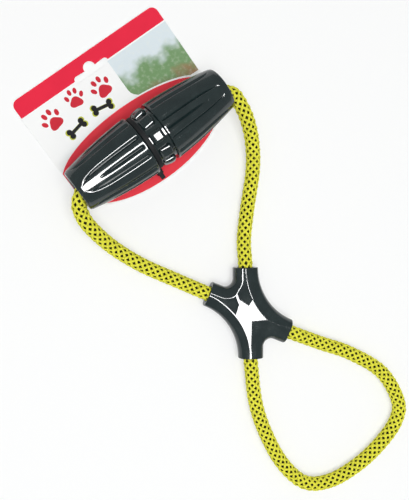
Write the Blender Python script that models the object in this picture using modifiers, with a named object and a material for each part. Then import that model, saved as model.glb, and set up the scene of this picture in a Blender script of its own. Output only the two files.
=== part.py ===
"""Rope tug toy with a fluted rubber chew barrel, a moulded crossing piece and its header card.

Metres, +Z up. The toy lies on its back: the barrel sits on its card and the rope runs to the floor.
"""

import math

import bmesh
import bpy
import numpy as np
from mathutils import Matrix, Vector

# Rope
ROPE_DIAMETER = 0.0127
ROPE_STEP = 0.022
ROPE_TURN = math.radians(25)
ROPE_LEAD = 0.003
ROPE_BEND = 0.022
ROPE_LEAVE_ANGLE = math.radians(37.5)
ROPE_RING_DETAIL = 4
GAP = 0.0003

# Barrel
BARREL_LENGTH = 0.1428
BARREL_END_WALL = 0.00278
BARREL_RISE = 0.0078
BARREL_END_ROUND = 0.0016
WAIST_DEPTH = 0.0036
WAIST_HALF = 0.0095
BORE_CLEARANCE = 0.0005

# Leaves of three flutes, with a closed end behind the waist's rim and one tip before the collar
LEAF_COUNT = 5
LEAF_TURN = math.radians(-4.5)
FLUTE_PITCH = math.radians(19.2)
FLUTE_HALF_WIDTH = math.radians(5.0)
FLUTE_DEPTH = 0.0019
FLUTE_RIM = 0.0013
FLUTE_CAP = 0.0024
FLUTE_BACK = 0.0052
CENTRE_FLUTE_BACK = 0.0185
FLUTE_TAPER = 0.026
CENTRE_FLUTE_TAPER = 0.024
FLUTE_CAP_SHARES = (0.05, 0.3, 0.65, 1.0)
FLUTE_TAPER_SHARES = (0.25, 0.5, 0.68, 0.82, 0.92, 0.98)
FLUTE_WALL_SHARE = 0.58
FLUTE_WALL_DEPTH_SHARE = 0.8
FLUTE_TIP_SHARE = 0.35

# Nubs ring the waist, two to a leaf
NUBS_A_LEAF = 2
NUB_LENGTH = 0.0108
NUB_WIDTH = 0.0098
NUB_ROUND = 0.002
NUB_ROOT = 0.0015
NUB_CENTRE = 0.0016

# Crossing piece, two curved tubes side by side
CROSS_BEND = 0.0602
CROSS_HALF_WEB = 0.003
CROSS_ARM_ANGLE = math.radians(33.8)
CROSS_WALL = 0.0043
CROSS_ROOF = 0.00305
CROSS_SIDE_FLAT = 0.0012
CROSS_NOTCH_ROUND = 0.0065
CROSS_BORE_CLEARANCE = 0.0005

# Header card
CARD_WIDTH = 0.1432
CARD_TOP_REACH = 0.0873
CARD_CORNER = 0.0062
CARD_THICKNESS = 0.0006
CARD_OVAL_OVERHANG = 0.0012
CARD_OVAL_DROP = 0.0336
CARD_SIDE_DROP = 0.0012
HANG_SLOT_WIDTH = 0.0318
HANG_SLOT_HEIGHT = 0.005
HANG_HOLE_DIAMETER = 0.0094
HANG_HOLE_RISE = 0.0028
HANG_SLOT_MARGIN = 0.0151
HANG_SLOT_SHIFT = 0.0026

# Cable tie that holds the card to the waist
TIE_WIDTH = 0.0036
TIE_THICKNESS = 0.0012
TIE_HEAD_LENGTH = 0.0052
TIE_HEAD_DEPTH = 0.0048
TIE_HEAD_WIDTH = 0.0054
TIE_HEAD_LIFT = 0.0016
TIE_TAIL = 0.0042

# Places
BARREL_PLACE_X = -0.0084
BARREL_PLACE_Y = 0.0361
BARREL_TURN = math.radians(36.2)
CROSS_PLACE_X = 0.0766
CROSS_PLACE_Y = -0.107
CROSS_TURN = math.radians(123.9)
ROPE_DROP = math.radians(18.0)
OVERRUN = 0.006

# Rope routes between the barrel and the crossing piece and round the hand loop, as x, y and height
LEFT_ROUTE = (
    (-0.0575, -0.0320, 0.0203), (-0.0387, -0.0495, 0.0115),
    (-0.0141, -0.0651, 0.0074), (0.0149, -0.0784, 0.0069),
)
RIGHT_ROUTE = (
    (0.0713, 0.0576, 0.0205), (0.0785, 0.0383, 0.0132), (0.0808, 0.0139, 0.0080),
    (0.0763, -0.0199, 0.0065), (0.0735, -0.0454, 0.0070),
)
LOOP_ROUTE = (
    (0.1432, -0.1361, 0.0067), (0.1712, -0.1463, 0.0064), (0.2010, -0.1644, 0.0064),
    (0.2172, -0.1910, 0.0064), (0.2154, -0.2089, 0.0064), (0.2012, -0.2281, 0.0064),
    (0.1796, -0.2464, 0.0064), (0.1537, -0.2592, 0.0064), (0.1297, -0.2592, 0.0064),
    (0.1089, -0.2406, 0.0064), (0.0933, -0.2124, 0.0064), (0.0841, -0.1845, 0.0067),
)

# Worked out from the sizes above
ROPE_RADIUS = ROPE_DIAMETER / 2
BORE_RADIUS = ROPE_RADIUS + BORE_CLEARANCE
LIP_DEPTH = ROPE_BEND * math.sin(ROPE_LEAVE_ANGLE)
LIP_CURVE = ROPE_BEND - BORE_RADIUS
LIP_ANGLE = math.asin(LIP_DEPTH / LIP_CURVE)
MOUTH_RADIUS = BORE_RADIUS + LIP_CURVE * (1 - math.cos(LIP_ANGLE))
BARREL_HALF = BARREL_LENGTH / 2
BARREL_END_RADIUS = MOUTH_RADIUS + BARREL_END_WALL
BARREL_MID_RADIUS = BARREL_END_RADIUS + BARREL_RISE
BARREL_CURVE = (BARREL_HALF**2 + BARREL_RISE**2) / (2 * BARREL_RISE)
WAIST_RADIUS = BARREL_MID_RADIUS - WAIST_DEPTH
FLUTE_START = WAIST_HALF + FLUTE_RIM
FLUTE_END = BARREL_HALF - FLUTE_BACK
CENTRE_FLUTE_END = BARREL_HALF - CENTRE_FLUTE_BACK
TIE_CENTRE = (WAIST_HALF + NUB_LENGTH / 2 - NUB_CENTRE) / 2
CARD_BOTTOM = TIE_THICKNESS + GAP
BARREL_HEIGHT = CARD_BOTTOM + CARD_THICKNESS + GAP + BARREL_MID_RADIUS
CROSS_HEIGHT = ROPE_DIAMETER + 2 * CROSS_ROOF
CROSS_MIDDLE = CROSS_HEIGHT / 2
CROSS_EDGE_ROUND = (CROSS_HEIGHT - CROSS_SIDE_FLAT) / 2
CROSS_TUBE = ROPE_RADIUS + CROSS_WALL
CROSS_SPREAD = ROPE_RADIUS + CROSS_HALF_WEB
HANG_SLOT_REACH = CARD_TOP_REACH - HANG_SLOT_MARGIN
CROSS_ARM_REACH = CROSS_BEND * math.sin(CROSS_ARM_ANGLE)
CROSS_ARM_SIDE = CROSS_SPREAD + CROSS_BEND * (1 - math.cos(CROSS_ARM_ANGLE))
BARREL_MATRIX = (
    Matrix.Translation((BARREL_PLACE_X, BARREL_PLACE_Y, BARREL_HEIGHT))
    @ Matrix.Rotation(BARREL_TURN, 4, "Z")
)
CROSS_MATRIX = (
    Matrix.Translation((CROSS_PLACE_X, CROSS_PLACE_Y, CROSS_MIDDLE))
    @ Matrix.Rotation(CROSS_TURN, 4, "Z")
)
ALONG_X = Matrix.Rotation(math.pi / 2, 4, "Y")


def new_collection(name):
    made = bpy.data.collections.new(name)
    bpy.context.scene.collection.children.link(made)
    return made


for old in list(bpy.data.objects):
    bpy.data.objects.remove(old)
TOY = new_collection("tug_toy")
CUTTERS = new_collection("cutters")
CUTTERS.hide_render = True


def material(name, colour, roughness):
    made = bpy.data.materials.new(name)
    made.use_nodes = True
    shader = made.node_tree.nodes["Principled BSDF"]
    shader.inputs["Base Color"].default_value = (*colour, 1)
    shader.inputs["Roughness"].default_value = roughness
    shader.inputs["Metallic"].default_value = 0
    return made


def place(obj, matrix, finish=None):
    """Links the object as a piece of the toy, or as a cutter where no finish is given."""
    obj.matrix_world = matrix
    if finish:
        obj.data.materials.append(finish)
        TOY.objects.link(obj)
    else:
        obj.hide_render = True
        obj.display_type = "WIRE"
        CUTTERS.objects.link(obj)
    return obj


def mesh_object(name, shape):
    bmesh.ops.recalc_face_normals(shape, faces=shape.faces)
    mesh = bpy.data.meshes.new(name)
    shape.to_mesh(mesh)
    shape.free()
    return bpy.data.objects.new(name, mesh)


def boolean(target, operation, tool):
    modifier = target.modifiers.new(tool.name, "BOOLEAN")
    modifier.operation = operation
    modifier.solver = "EXACT"
    modifier.object = tool


def as_mesh(obj):
    """Turns a curve object into a welded mesh object of the same name."""
    bpy.context.view_layer.update()
    mesh = bpy.data.meshes.new_from_object(obj.evaluated_get(bpy.context.evaluated_depsgraph_get()))
    shape = bmesh.new()
    shape.from_mesh(mesh)
    bmesh.ops.remove_doubles(shape, verts=shape.verts, dist=GAP / 10)
    name, matrix, home = obj.name, obj.matrix_world.copy(), obj.users_collection[0]
    bpy.data.objects.remove(obj)
    made = mesh_object(name, shape)
    made.matrix_world = matrix
    home.objects.link(made)
    return made


def add_spline(curve, points, cyclic):
    spline = curve.splines.new("POLY")
    spline.points.add(len(points) - 1)
    for target, point in zip(spline.points, points):
        target.co = (*point, 0, 1) if len(point) == 2 else (*point, 1)
    spline.use_cyclic_u = cyclic


def tube(name, points, radius, detail):
    """A round tube along the points, with closed ends."""
    curve = bpy.data.curves.new(name, "CURVE")
    curve.dimensions = "3D"
    curve.bevel_depth = radius
    curve.bevel_resolution = detail
    curve.use_fill_caps = True
    add_spline(curve, [tuple(point) for point in points], False)
    return bpy.data.objects.new(name, curve)


def plate(name, outlines, thickness, edge_round=0.0, detail=0):
    """A flat piece cut to its outlines, the inner ones as holes, with its edges rounded inwards."""
    curve = bpy.data.curves.new(name, "CURVE")
    curve.dimensions = "2D"
    curve.fill_mode = "BOTH"
    curve.extrude = thickness / 2 - edge_round
    curve.bevel_depth = edge_round
    curve.bevel_resolution = detail
    curve.offset = -edge_round
    for outline in outlines:
        add_spline(curve, outline, True)
    return bpy.data.objects.new(name, curve)


def box(name, size, centre):
    shape = bmesh.new()
    bmesh.ops.create_cube(shape, size=1, matrix=Matrix.Translation(centre) @ Matrix.Diagonal((*size, 1)))
    return mesh_object(name, shape)


def arc(centre, radius, start, end, steps):
    """Points on a circle from one angle to another, both ends included."""
    return [
        (centre[0] + radius * math.cos(angle), centre[1] + radius * math.sin(angle))
        for angle in np.linspace(start, end, steps + 1)
    ]


def smooth_route(points):
    """Points on the smooth curve through the route's own, closer together where it bends."""
    fixed = np.array([np.asarray(point, float) for point in points])
    fixed = np.vstack([2 * fixed[0] - fixed[1], fixed, 2 * fixed[-1] - fixed[-2]])
    dense = []
    for a, b, c, d in zip(fixed, fixed[1:], fixed[2:], fixed[3:]):
        for share in np.linspace(0, 1, 24, endpoint=False):
            dense.append(0.5 * (2 * b + (c - a) * share + (2 * a - 5 * b + 4 * c - d) * share**2
                                + (3 * b - a - 3 * c + d) * share**3))
    dense = np.array([*dense, fixed[-2]])
    steps = np.diff(dense, axis=0)
    lengths = np.linalg.norm(steps, axis=1)
    ways = steps / lengths[:, None]
    turns = np.arccos(np.clip((ways[1:] * ways[:-1]).sum(axis=1), -1, 1))
    effort = lengths / ROPE_STEP + np.append(turns, 0) / ROPE_TURN
    travelled = np.concatenate([[0], np.cumsum(effort)])
    marks = np.linspace(0, travelled[-1], round(travelled[-1]) + 1)
    return np.column_stack([np.interp(marks, travelled, dense[:, axis]) for axis in range(3)])


# Barrel

def envelope(along):
    """The barrel's outer radius between its flutes, a shallow arc from end to end."""
    return BARREL_MID_RADIUS - BARREL_CURVE + math.sqrt(BARREL_CURVE**2 - along**2)


def flute_shares(along, end, taper):
    """How wide and how deep a flute is at a place along the barrel, as shares of its middle."""
    out = min(1.0, max(0.0, (along - end + taper) / taper))
    back = min(1.0, max(0.0, (along - FLUTE_START) / FLUTE_CAP))
    narrow = FLUTE_TIP_SHARE + (1 - FLUTE_TIP_SHARE) * math.sqrt(1 - out**3)
    cap = math.sqrt(1 - (1 - back) ** 2)
    return narrow, FLUTE_WALL_SHARE + (1 - FLUTE_WALL_SHARE) * cap, (1 - out**3) * cap


def flute_section(along):
    """One ring round the barrel, cut by the flutes of its leaves."""
    top = envelope(along)
    ring = []
    for leaf in range(LEAF_COUNT):
        middle = LEAF_TURN + 2 * math.pi * leaf / LEAF_COUNT
        for side in (-1, 0, 1):
            narrow, cap, deep = flute_shares(
                along, *((FLUTE_END, FLUTE_TAPER) if side else (CENTRE_FLUTE_END, CENTRE_FLUTE_TAPER)))
            for across, down in (
                (-1, 0), (-FLUTE_WALL_SHARE, FLUTE_WALL_DEPTH_SHARE), (0, 1),
                (FLUTE_WALL_SHARE, FLUTE_WALL_DEPTH_SHARE), (1, 0),
            ):
                turn = (side * FLUTE_PITCH + across * FLUTE_HALF_WIDTH * cap) * narrow
                ring.append((middle + turn, top - down * deep * FLUTE_DEPTH))
        ring.append((middle + math.pi / LEAF_COUNT, top))
    return [Vector((along, radius * math.sin(turn), radius * math.cos(turn))) for turn, radius in ring]


def plain_ring(along, radius, columns):
    """A round ring, with a point for each of the columns, evenly spaced about the leaves' middles."""
    step = 2 * math.pi / columns
    first = LEAF_TURN - step * (columns / LEAF_COUNT / 2 - 1)
    return [
        Vector((along, radius * math.sin(first + step * index), radius * math.cos(first + step * index)))
        for index in range(columns)
    ]


def half_rings():
    """The rings of the barrel's right half, from the waist to the end."""
    rim = flute_section(WAIST_HALF)
    floor = [Vector((WAIST_HALF, *(Vector(point[1:]).normalized() * WAIST_RADIUS))) for point in rim]
    rings = [floor, rim]
    rings += [flute_section(FLUTE_START + share * FLUTE_CAP) for share in FLUTE_CAP_SHARES]
    stations = {end - taper + share * taper for share in FLUTE_TAPER_SHARES for end, taper in (
        (FLUTE_END, FLUTE_TAPER), (CENTRE_FLUTE_END, CENTRE_FLUTE_TAPER))}
    stations |= {CENTRE_FLUTE_END - CENTRE_FLUTE_TAPER, CENTRE_FLUTE_END, FLUTE_END}
    rings += [flute_section(along) for along in sorted(stations)]
    round_start = BARREL_HALF - BARREL_END_ROUND
    end_radius = envelope(BARREL_HALF)
    for angle in np.linspace(0, math.pi / 2, 4):
        radius = end_radius - BARREL_END_ROUND * (1 - math.cos(angle))
        rings.append(plain_ring(round_start + BARREL_END_ROUND * math.sin(angle), radius, len(rim)))
    return rings


def barrel_skin():
    right = half_rings()
    left = [[Vector((-point.x, point.y, point.z)) for point in ring] for ring in reversed(right)]
    shape = bmesh.new()
    rings = [[shape.verts.new(point) for point in ring] for ring in left + right]
    for ring, following in zip(rings, rings[1:]):
        for index in range(len(ring)):
            after = (index + 1) % len(ring)
            shape.faces.new((ring[index], ring[after], following[after], following[index]))
    shape.faces.new(rings[0])
    shape.faces.new(rings[-1])
    return mesh_object("chew_barrel", shape)


def nub_ring():
    """The pads round the waist, sunk into it by their roots."""
    shape = bmesh.new()
    floor = WAIST_RADIUS - NUB_ROOT
    top = envelope(NUB_CENTRE + NUB_LENGTH / 2)
    size = Matrix.Diagonal((NUB_LENGTH, NUB_WIDTH, top - floor, 1))
    for nub in range(LEAF_COUNT * NUBS_A_LEAF):
        turn = Matrix.Rotation(2 * math.pi * nub / (LEAF_COUNT * NUBS_A_LEAF) - LEAF_TURN, 4, "X")
        place_nub = Matrix.Translation((NUB_CENTRE, 0, (top + floor) / 2))
        made = bmesh.ops.create_cube(shape, size=1, matrix=turn @ place_nub @ size)
        edges = {edge for vert in made["verts"] for edge in vert.link_edges}
        bmesh.ops.bevel(shape, geom=list(edges), offset=NUB_ROUND, segments=2, affect="EDGES", profile=0.5)
    return place(mesh_object("nub_ring", shape), BARREL_MATRIX)


def bore_cutter():
    """The rope's bore with a bell mouth at both ends, turned about the barrel's axis."""
    lip_start = BARREL_HALF - LIP_DEPTH
    mouth = [
        (BORE_RADIUS + LIP_CURVE * (1 - math.cos(angle)), lip_start + LIP_CURVE * math.sin(angle))
        for angle in np.linspace(0, LIP_ANGLE, 7)
    ]
    mouth.append((MOUTH_RADIUS, BARREL_HALF + OVERRUN))
    half = [(0.0, BARREL_HALF + OVERRUN), *reversed(mouth)]
    profile = half + [(radius, -along) for radius, along in reversed(half)]
    mesh = bpy.data.meshes.new("bore_cutter")
    edges = [(index, index + 1) for index in range(len(profile) - 1)]
    mesh.from_pydata([(radius, 0.0, along) for radius, along in profile], edges, [])
    cutter = bpy.data.objects.new("bore_cutter", mesh)
    screw = cutter.modifiers.new("turn", "SCREW")
    screw.axis = "Z"
    screw.steps = screw.render_steps = 32
    screw.use_merge_vertices = True
    screw.merge_threshold = GAP / 10
    return place(cutter, BARREL_MATRIX @ ALONG_X)


# Crossing piece

def cross_outline():
    """The crossing piece's plan, its arms run on past their ends for the end cuts."""
    heading = np.array([math.cos(CROSS_ARM_ANGLE), math.sin(CROSS_ARM_ANGLE)])
    outward = np.array([-heading[1], heading[0]])
    end = np.array([CROSS_ARM_REACH, CROSS_ARM_SIDE])
    run_on = heading * (CROSS_EDGE_ROUND + OVERRUN)
    inner_end = end - outward * CROSS_TUBE
    notch = inner_end[0] - inner_end[1] / math.tan(CROSS_ARM_ANGLE)
    notch_centre = notch + CROSS_NOTCH_ROUND / math.sin(CROSS_ARM_ANGLE)
    swing = math.pi / 2 + CROSS_ARM_ANGLE
    hollow = arc((0, CROSS_SPREAD + CROSS_BEND), CROSS_BEND - CROSS_TUBE,
                 -math.pi / 2 - CROSS_ARM_ANGLE, -math.pi / 2 + CROSS_ARM_ANGLE, 14)
    right = [
        tuple(end + outward * CROSS_TUBE + run_on), tuple(inner_end + run_on),
        *arc((notch_centre, 0), CROSS_NOTCH_ROUND, swing, 2 * math.pi - swing, 6),
        (inner_end[0] + run_on[0], -inner_end[1] - run_on[1]),
        (end[0] + outward[0] * CROSS_TUBE + run_on[0], -end[1] - outward[1] * CROSS_TUBE - run_on[1]),
    ]
    half = hollow + right
    return half + [(-x, -y) for x, y in half]


def cross_arm(side_x, side_y):
    """The middle of an arm's end face and the way the rope leaves there, in world space."""
    end = CROSS_MATRIX @ Vector((side_x * CROSS_ARM_REACH, side_y * CROSS_ARM_SIDE, 0))
    heading = CROSS_MATRIX.to_3x3() @ Vector(
        (side_x * math.cos(CROSS_ARM_ANGLE), side_y * math.sin(CROSS_ARM_ANGLE), 0))
    return np.array(end), np.array(heading)


def cross_route(side_y, steps):
    """Points along one tube's arc, from its arm on the left-hand notch's side to the other."""
    centre = (0, side_y * (CROSS_SPREAD + CROSS_BEND))
    middle = -side_y * math.pi / 2
    swing = side_y * CROSS_ARM_ANGLE
    return [
        np.array(CROSS_MATRIX @ Vector((*point, 0)))
        for point in arc(centre, CROSS_BEND, middle + swing, middle - swing, steps)
    ]


def arm_end_cutters():
    """One block beyond each arm's end face."""
    shape = bmesh.new()
    depth = CROSS_EDGE_ROUND + 2 * OVERRUN
    for side_x in (1, -1):
        for side_y in (1, -1):
            heading = math.atan2(side_y * math.sin(CROSS_ARM_ANGLE), side_x * math.cos(CROSS_ARM_ANGLE))
            block = (
                Matrix.Translation((side_x * CROSS_ARM_REACH, side_y * CROSS_ARM_SIDE, 0))
                @ Matrix.Rotation(heading, 4, "Z") @ Matrix.Translation((depth / 2, 0, 0))
                @ Matrix.Diagonal((depth, 2 * CROSS_TUBE + OVERRUN, CROSS_HEIGHT + OVERRUN, 1))
            )
            bmesh.ops.create_cube(shape, size=1, matrix=block)
    return place(mesh_object("arm_end_cutters", shape), CROSS_MATRIX)


def make_cross(finish):
    cross = plate("cross_piece", [cross_outline()], CROSS_HEIGHT, CROSS_EDGE_ROUND, 5)
    cross = as_mesh(place(cross, CROSS_MATRIX, finish))
    cross.data.materials.append(finish)
    boolean(cross, "DIFFERENCE", arm_end_cutters())
    for name, side_y in (("cross_bore_a", 1), ("cross_bore_b", -1)):
        near, near_heading = cross_arm(1, side_y)
        far, far_heading = cross_arm(-1, side_y)
        route = [near + near_heading * OVERRUN, *cross_route(side_y, 6), far + far_heading * OVERRUN]
        cutter = tube(name, route, ROPE_RADIUS + CROSS_BORE_CLEARANCE, ROPE_RING_DETAIL)
        boolean(cross, "DIFFERENCE", as_mesh(place(cutter, Matrix())))


# Rope

def mouth_cut(side):
    """Where the rope passes the barrel's end face, its way there and the bend's points inside."""
    frame = BARREL_MATRIX.to_3x3()
    along = np.array(frame @ Vector((side, 0, 0)))
    out = np.array(frame @ Vector((0, -math.cos(ROPE_DROP), -math.sin(ROPE_DROP))))
    start = np.array(BARREL_MATRIX.translation) + along * (BARREL_HALF - LIP_DEPTH)
    leave = ROPE_LEAVE_ANGLE

    def bend(angle):
        return start + along * ROPE_BEND * math.sin(angle) + out * ROPE_BEND * (1 - math.cos(angle))

    inside = [bend(angle) for angle in np.linspace(0, leave, 5)[:-1]]
    heading = along * math.cos(leave) + out * math.sin(leave)
    return bend(leave), heading, inside, bend(leave + (math.pi / 2 - leave) / 2)


def rope_piece(name, start, start_heading, route, end, end_heading, finish):
    """A stretch of rope from one cut to the next, square to both and short of each by half the gap."""
    points = [
        start + start_heading * GAP / 2,
        *route,
        end - end_heading * GAP / 2,
    ]
    return place(tube(name, points, ROPE_RADIUS, ROPE_RING_DETAIL), Matrix(), finish)


def free_route(start, start_heading, chosen, end, end_heading):
    """The smooth route of a free stretch, with a short straight lead at both ends."""
    return smooth_route(
        [start + start_heading * ROPE_LEAD, *chosen, end - end_heading * ROPE_LEAD])


def make_rope(finish):
    left_cut, left_heading, left_inside, left_bend = mouth_cut(-1)
    right_cut, right_heading, right_inside, right_bend = mouth_cut(1)
    left_arm, left_way = cross_arm(1, 1)
    bottom_arm, bottom_way = cross_arm(-1, 1)
    top_arm, top_way = cross_arm(1, -1)
    right_arm, right_way = cross_arm(-1, -1)

    core = [left_cut + left_heading * -ROPE_LEAD, *reversed(left_inside),
            *right_inside, right_cut - right_heading * ROPE_LEAD]
    rope_piece("rope_core", left_cut, -left_heading, core, right_cut, right_heading, finish)

    for name, cut, heading, bend, chosen, arm, way in (
        ("rope_left_run", left_cut, left_heading, left_bend, LEFT_ROUTE, left_arm, left_way),
        ("rope_right_run", right_cut, right_heading, right_bend, RIGHT_ROUTE, top_arm, top_way),
    ):
        route = free_route(cut, heading, [bend, *chosen], arm, -way)
        rope_piece(name, cut, heading, route, arm, -way, finish)

    for name, side_y, near, near_way, far, far_way in (
        ("rope_cross_left", 1, left_arm, left_way, bottom_arm, bottom_way),
        ("rope_cross_right", -1, top_arm, top_way, right_arm, right_way),
    ):
        inner = cross_route(side_y, 6)[1:-1]
        inner = [near - near_way * ROPE_LEAD, *inner, far - far_way * ROPE_LEAD]
        rope_piece(name, near, -near_way, inner, far, far_way, finish)

    route = free_route(right_arm, right_way, LOOP_ROUTE, bottom_arm, -bottom_way)
    rope_piece("hand_loop", right_arm, right_way, route, bottom_arm, -bottom_way, finish)


# Header card and its tie

def card_outline():
    """Square shoulders with round top corners, drawn in to the oval's lower edge."""
    half = CARD_WIDTH / 2
    top = CARD_TOP_REACH - CARD_CORNER
    side = half - CARD_CORNER
    oval = half + CARD_OVAL_OVERHANG
    meet = math.acos(half / oval)
    lower = [
        (oval * math.cos(angle), -CARD_SIDE_DROP - CARD_OVAL_DROP * math.sin(angle))
        for angle in np.linspace(meet, math.pi - meet, 33)
    ]
    return [
        *arc((-side, top), CARD_CORNER, math.pi, math.pi / 2, 6),
        *arc((side, top), CARD_CORNER, math.pi / 2, 0, 6),
        *lower,
    ]


def hang_slot_outline():
    """A hanger slot: round ends, and a round rise in the middle."""
    end = HANG_SLOT_HEIGHT / 2
    reach = HANG_SLOT_WIDTH / 2 - end
    hole = HANG_HOLE_DIAMETER / 2
    dip = math.asin((HANG_HOLE_RISE - end) / hole)
    points = [
        *arc((-reach, 0), end, 3 * math.pi / 2, math.pi / 2, 8),
        *arc((0, HANG_HOLE_RISE), hole, math.pi + dip, -dip, 12),
        *arc((reach, 0), end, math.pi / 2, -math.pi / 2, 8),
    ]
    return [(x - HANG_SLOT_SHIFT, y + HANG_SLOT_REACH) for x, y in points]


def tie_slot_outline(side):
    """The slot that one leg of the tie passes through."""
    middle = side * (WAIST_RADIUS + GAP + TIE_THICKNESS / 2)
    half_length = TIE_WIDTH / 2 + GAP
    half_width = TIE_THICKNESS / 2 + GAP
    return [
        (-TIE_CENTRE + along * half_length, middle + across * half_width)
        for along, across in ((-1, -1), (-1, 1), (1, 1), (1, -1))
    ]


def make_card(finish):
    card = plate(
        "header_card",
        [card_outline(), hang_slot_outline(), tie_slot_outline(-1), tie_slot_outline(1)],
        CARD_THICKNESS)
    level = Matrix.Translation((0, 0, CARD_BOTTOM + CARD_THICKNESS / 2 - BARREL_HEIGHT))
    place(card, BARREL_MATRIX @ level, finish)


def tie_outline(radius, bottom, corner):
    """Half round over the waist, with straight legs down to a flat run."""
    return [
        *arc((0, 0), radius, math.pi, 0, 20),
        *arc((radius - corner, bottom + corner), corner, 0, -math.pi / 2, 3),
        *arc((corner - radius, bottom + corner), corner, -math.pi / 2, -math.pi, 3),
    ]


def make_tie(finish):
    inner = WAIST_RADIUS + GAP
    outer = inner + TIE_THICKNESS
    tie = plate(
        "card_tie",
        [tie_outline(outer, -BARREL_HEIGHT, TIE_THICKNESS),
         tie_outline(inner, TIE_THICKNESS - BARREL_HEIGHT, TIE_THICKNESS / 4)],
        TIE_WIDTH)
    across = Matrix.Rotation(math.pi / 2, 4, "Z") @ Matrix.Rotation(math.pi / 2, 4, "X")
    tie = as_mesh(place(tie, BARREL_MATRIX @ Matrix.Translation((-TIE_CENTRE, 0, 0)) @ across, finish))
    tie.data.materials.append(finish)
    head_bottom = CARD_BOTTOM + CARD_THICKNESS + TIE_HEAD_LIFT - BARREL_HEIGHT
    sink = TIE_THICKNESS / 2
    head = box("tie_head", (TIE_HEAD_WIDTH, TIE_HEAD_DEPTH + sink, TIE_HEAD_LENGTH),
               (-TIE_CENTRE, sink - outer - (TIE_HEAD_DEPTH + sink) / 2,
                head_bottom + TIE_HEAD_LENGTH / 2))
    tail_reach = TIE_TAIL + TIE_HEAD_DEPTH
    tail = box("tie_tail", (TIE_WIDTH, tail_reach, TIE_THICKNESS),
               (-TIE_CENTRE, -outer - tail_reach / 2, head_bottom + TIE_HEAD_LENGTH / 2))
    boolean(tie, "UNION", place(head, BARREL_MATRIX))
    boolean(tie, "UNION", place(tail, BARREL_MATRIX))


def make_barrel(finish):
    barrel = place(barrel_skin(), BARREL_MATRIX, finish)
    boolean(barrel, "UNION", nub_ring())
    boolean(barrel, "DIFFERENCE", bore_cutter())


black_rubber = material("black_rubber", (0.012, 0.014, 0.016), 0.25)
yellow_rope = material("yellow_rope", (0.72, 0.76, 0.04), 0.8)
white_card = material("white_card", (0.88, 0.88, 0.87), 0.5)
black_nylon = material("black_nylon", (0.02, 0.02, 0.022), 0.35)

make_barrel(black_rubber)
make_cross(black_rubber)
make_rope(yellow_rope)
make_card(white_card)
make_tie(black_nylon)
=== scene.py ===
"""Dresses the rope tug toy: its braided rope, fluted chew barrel, crossing piece, header card and tie."""

import logging
import math
from collections.abc import Iterator, Sequence
from contextlib import contextmanager
from dataclasses import dataclass, field
from enum import Enum

import bmesh
import bpy
import numpy as np
from mathutils import Matrix, Vector


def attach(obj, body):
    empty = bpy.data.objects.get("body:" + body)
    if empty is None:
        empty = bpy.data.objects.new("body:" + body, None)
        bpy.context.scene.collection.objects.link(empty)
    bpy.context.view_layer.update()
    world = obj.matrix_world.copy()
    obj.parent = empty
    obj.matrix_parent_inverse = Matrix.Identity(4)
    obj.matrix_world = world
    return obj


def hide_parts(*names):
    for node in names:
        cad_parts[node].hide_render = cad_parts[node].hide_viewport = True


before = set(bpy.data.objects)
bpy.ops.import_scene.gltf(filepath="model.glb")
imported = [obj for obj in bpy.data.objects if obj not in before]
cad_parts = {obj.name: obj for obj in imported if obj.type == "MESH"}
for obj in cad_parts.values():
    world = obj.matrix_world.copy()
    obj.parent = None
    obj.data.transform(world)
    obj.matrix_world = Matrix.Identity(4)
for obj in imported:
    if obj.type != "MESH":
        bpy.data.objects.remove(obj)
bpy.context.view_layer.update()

logging.basicConfig(level=logging.INFO, format="%(message)s")
LOG = logging.getLogger("tug_toy")

Point = tuple[float, float, float]
Colour = tuple[float, float, float]
Flat = tuple[float, float]
Outline = Sequence[Sequence[float]]
Socket = bpy.types.NodeSocket
WELD_DISTANCE = 1e-6


# Sizes


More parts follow.
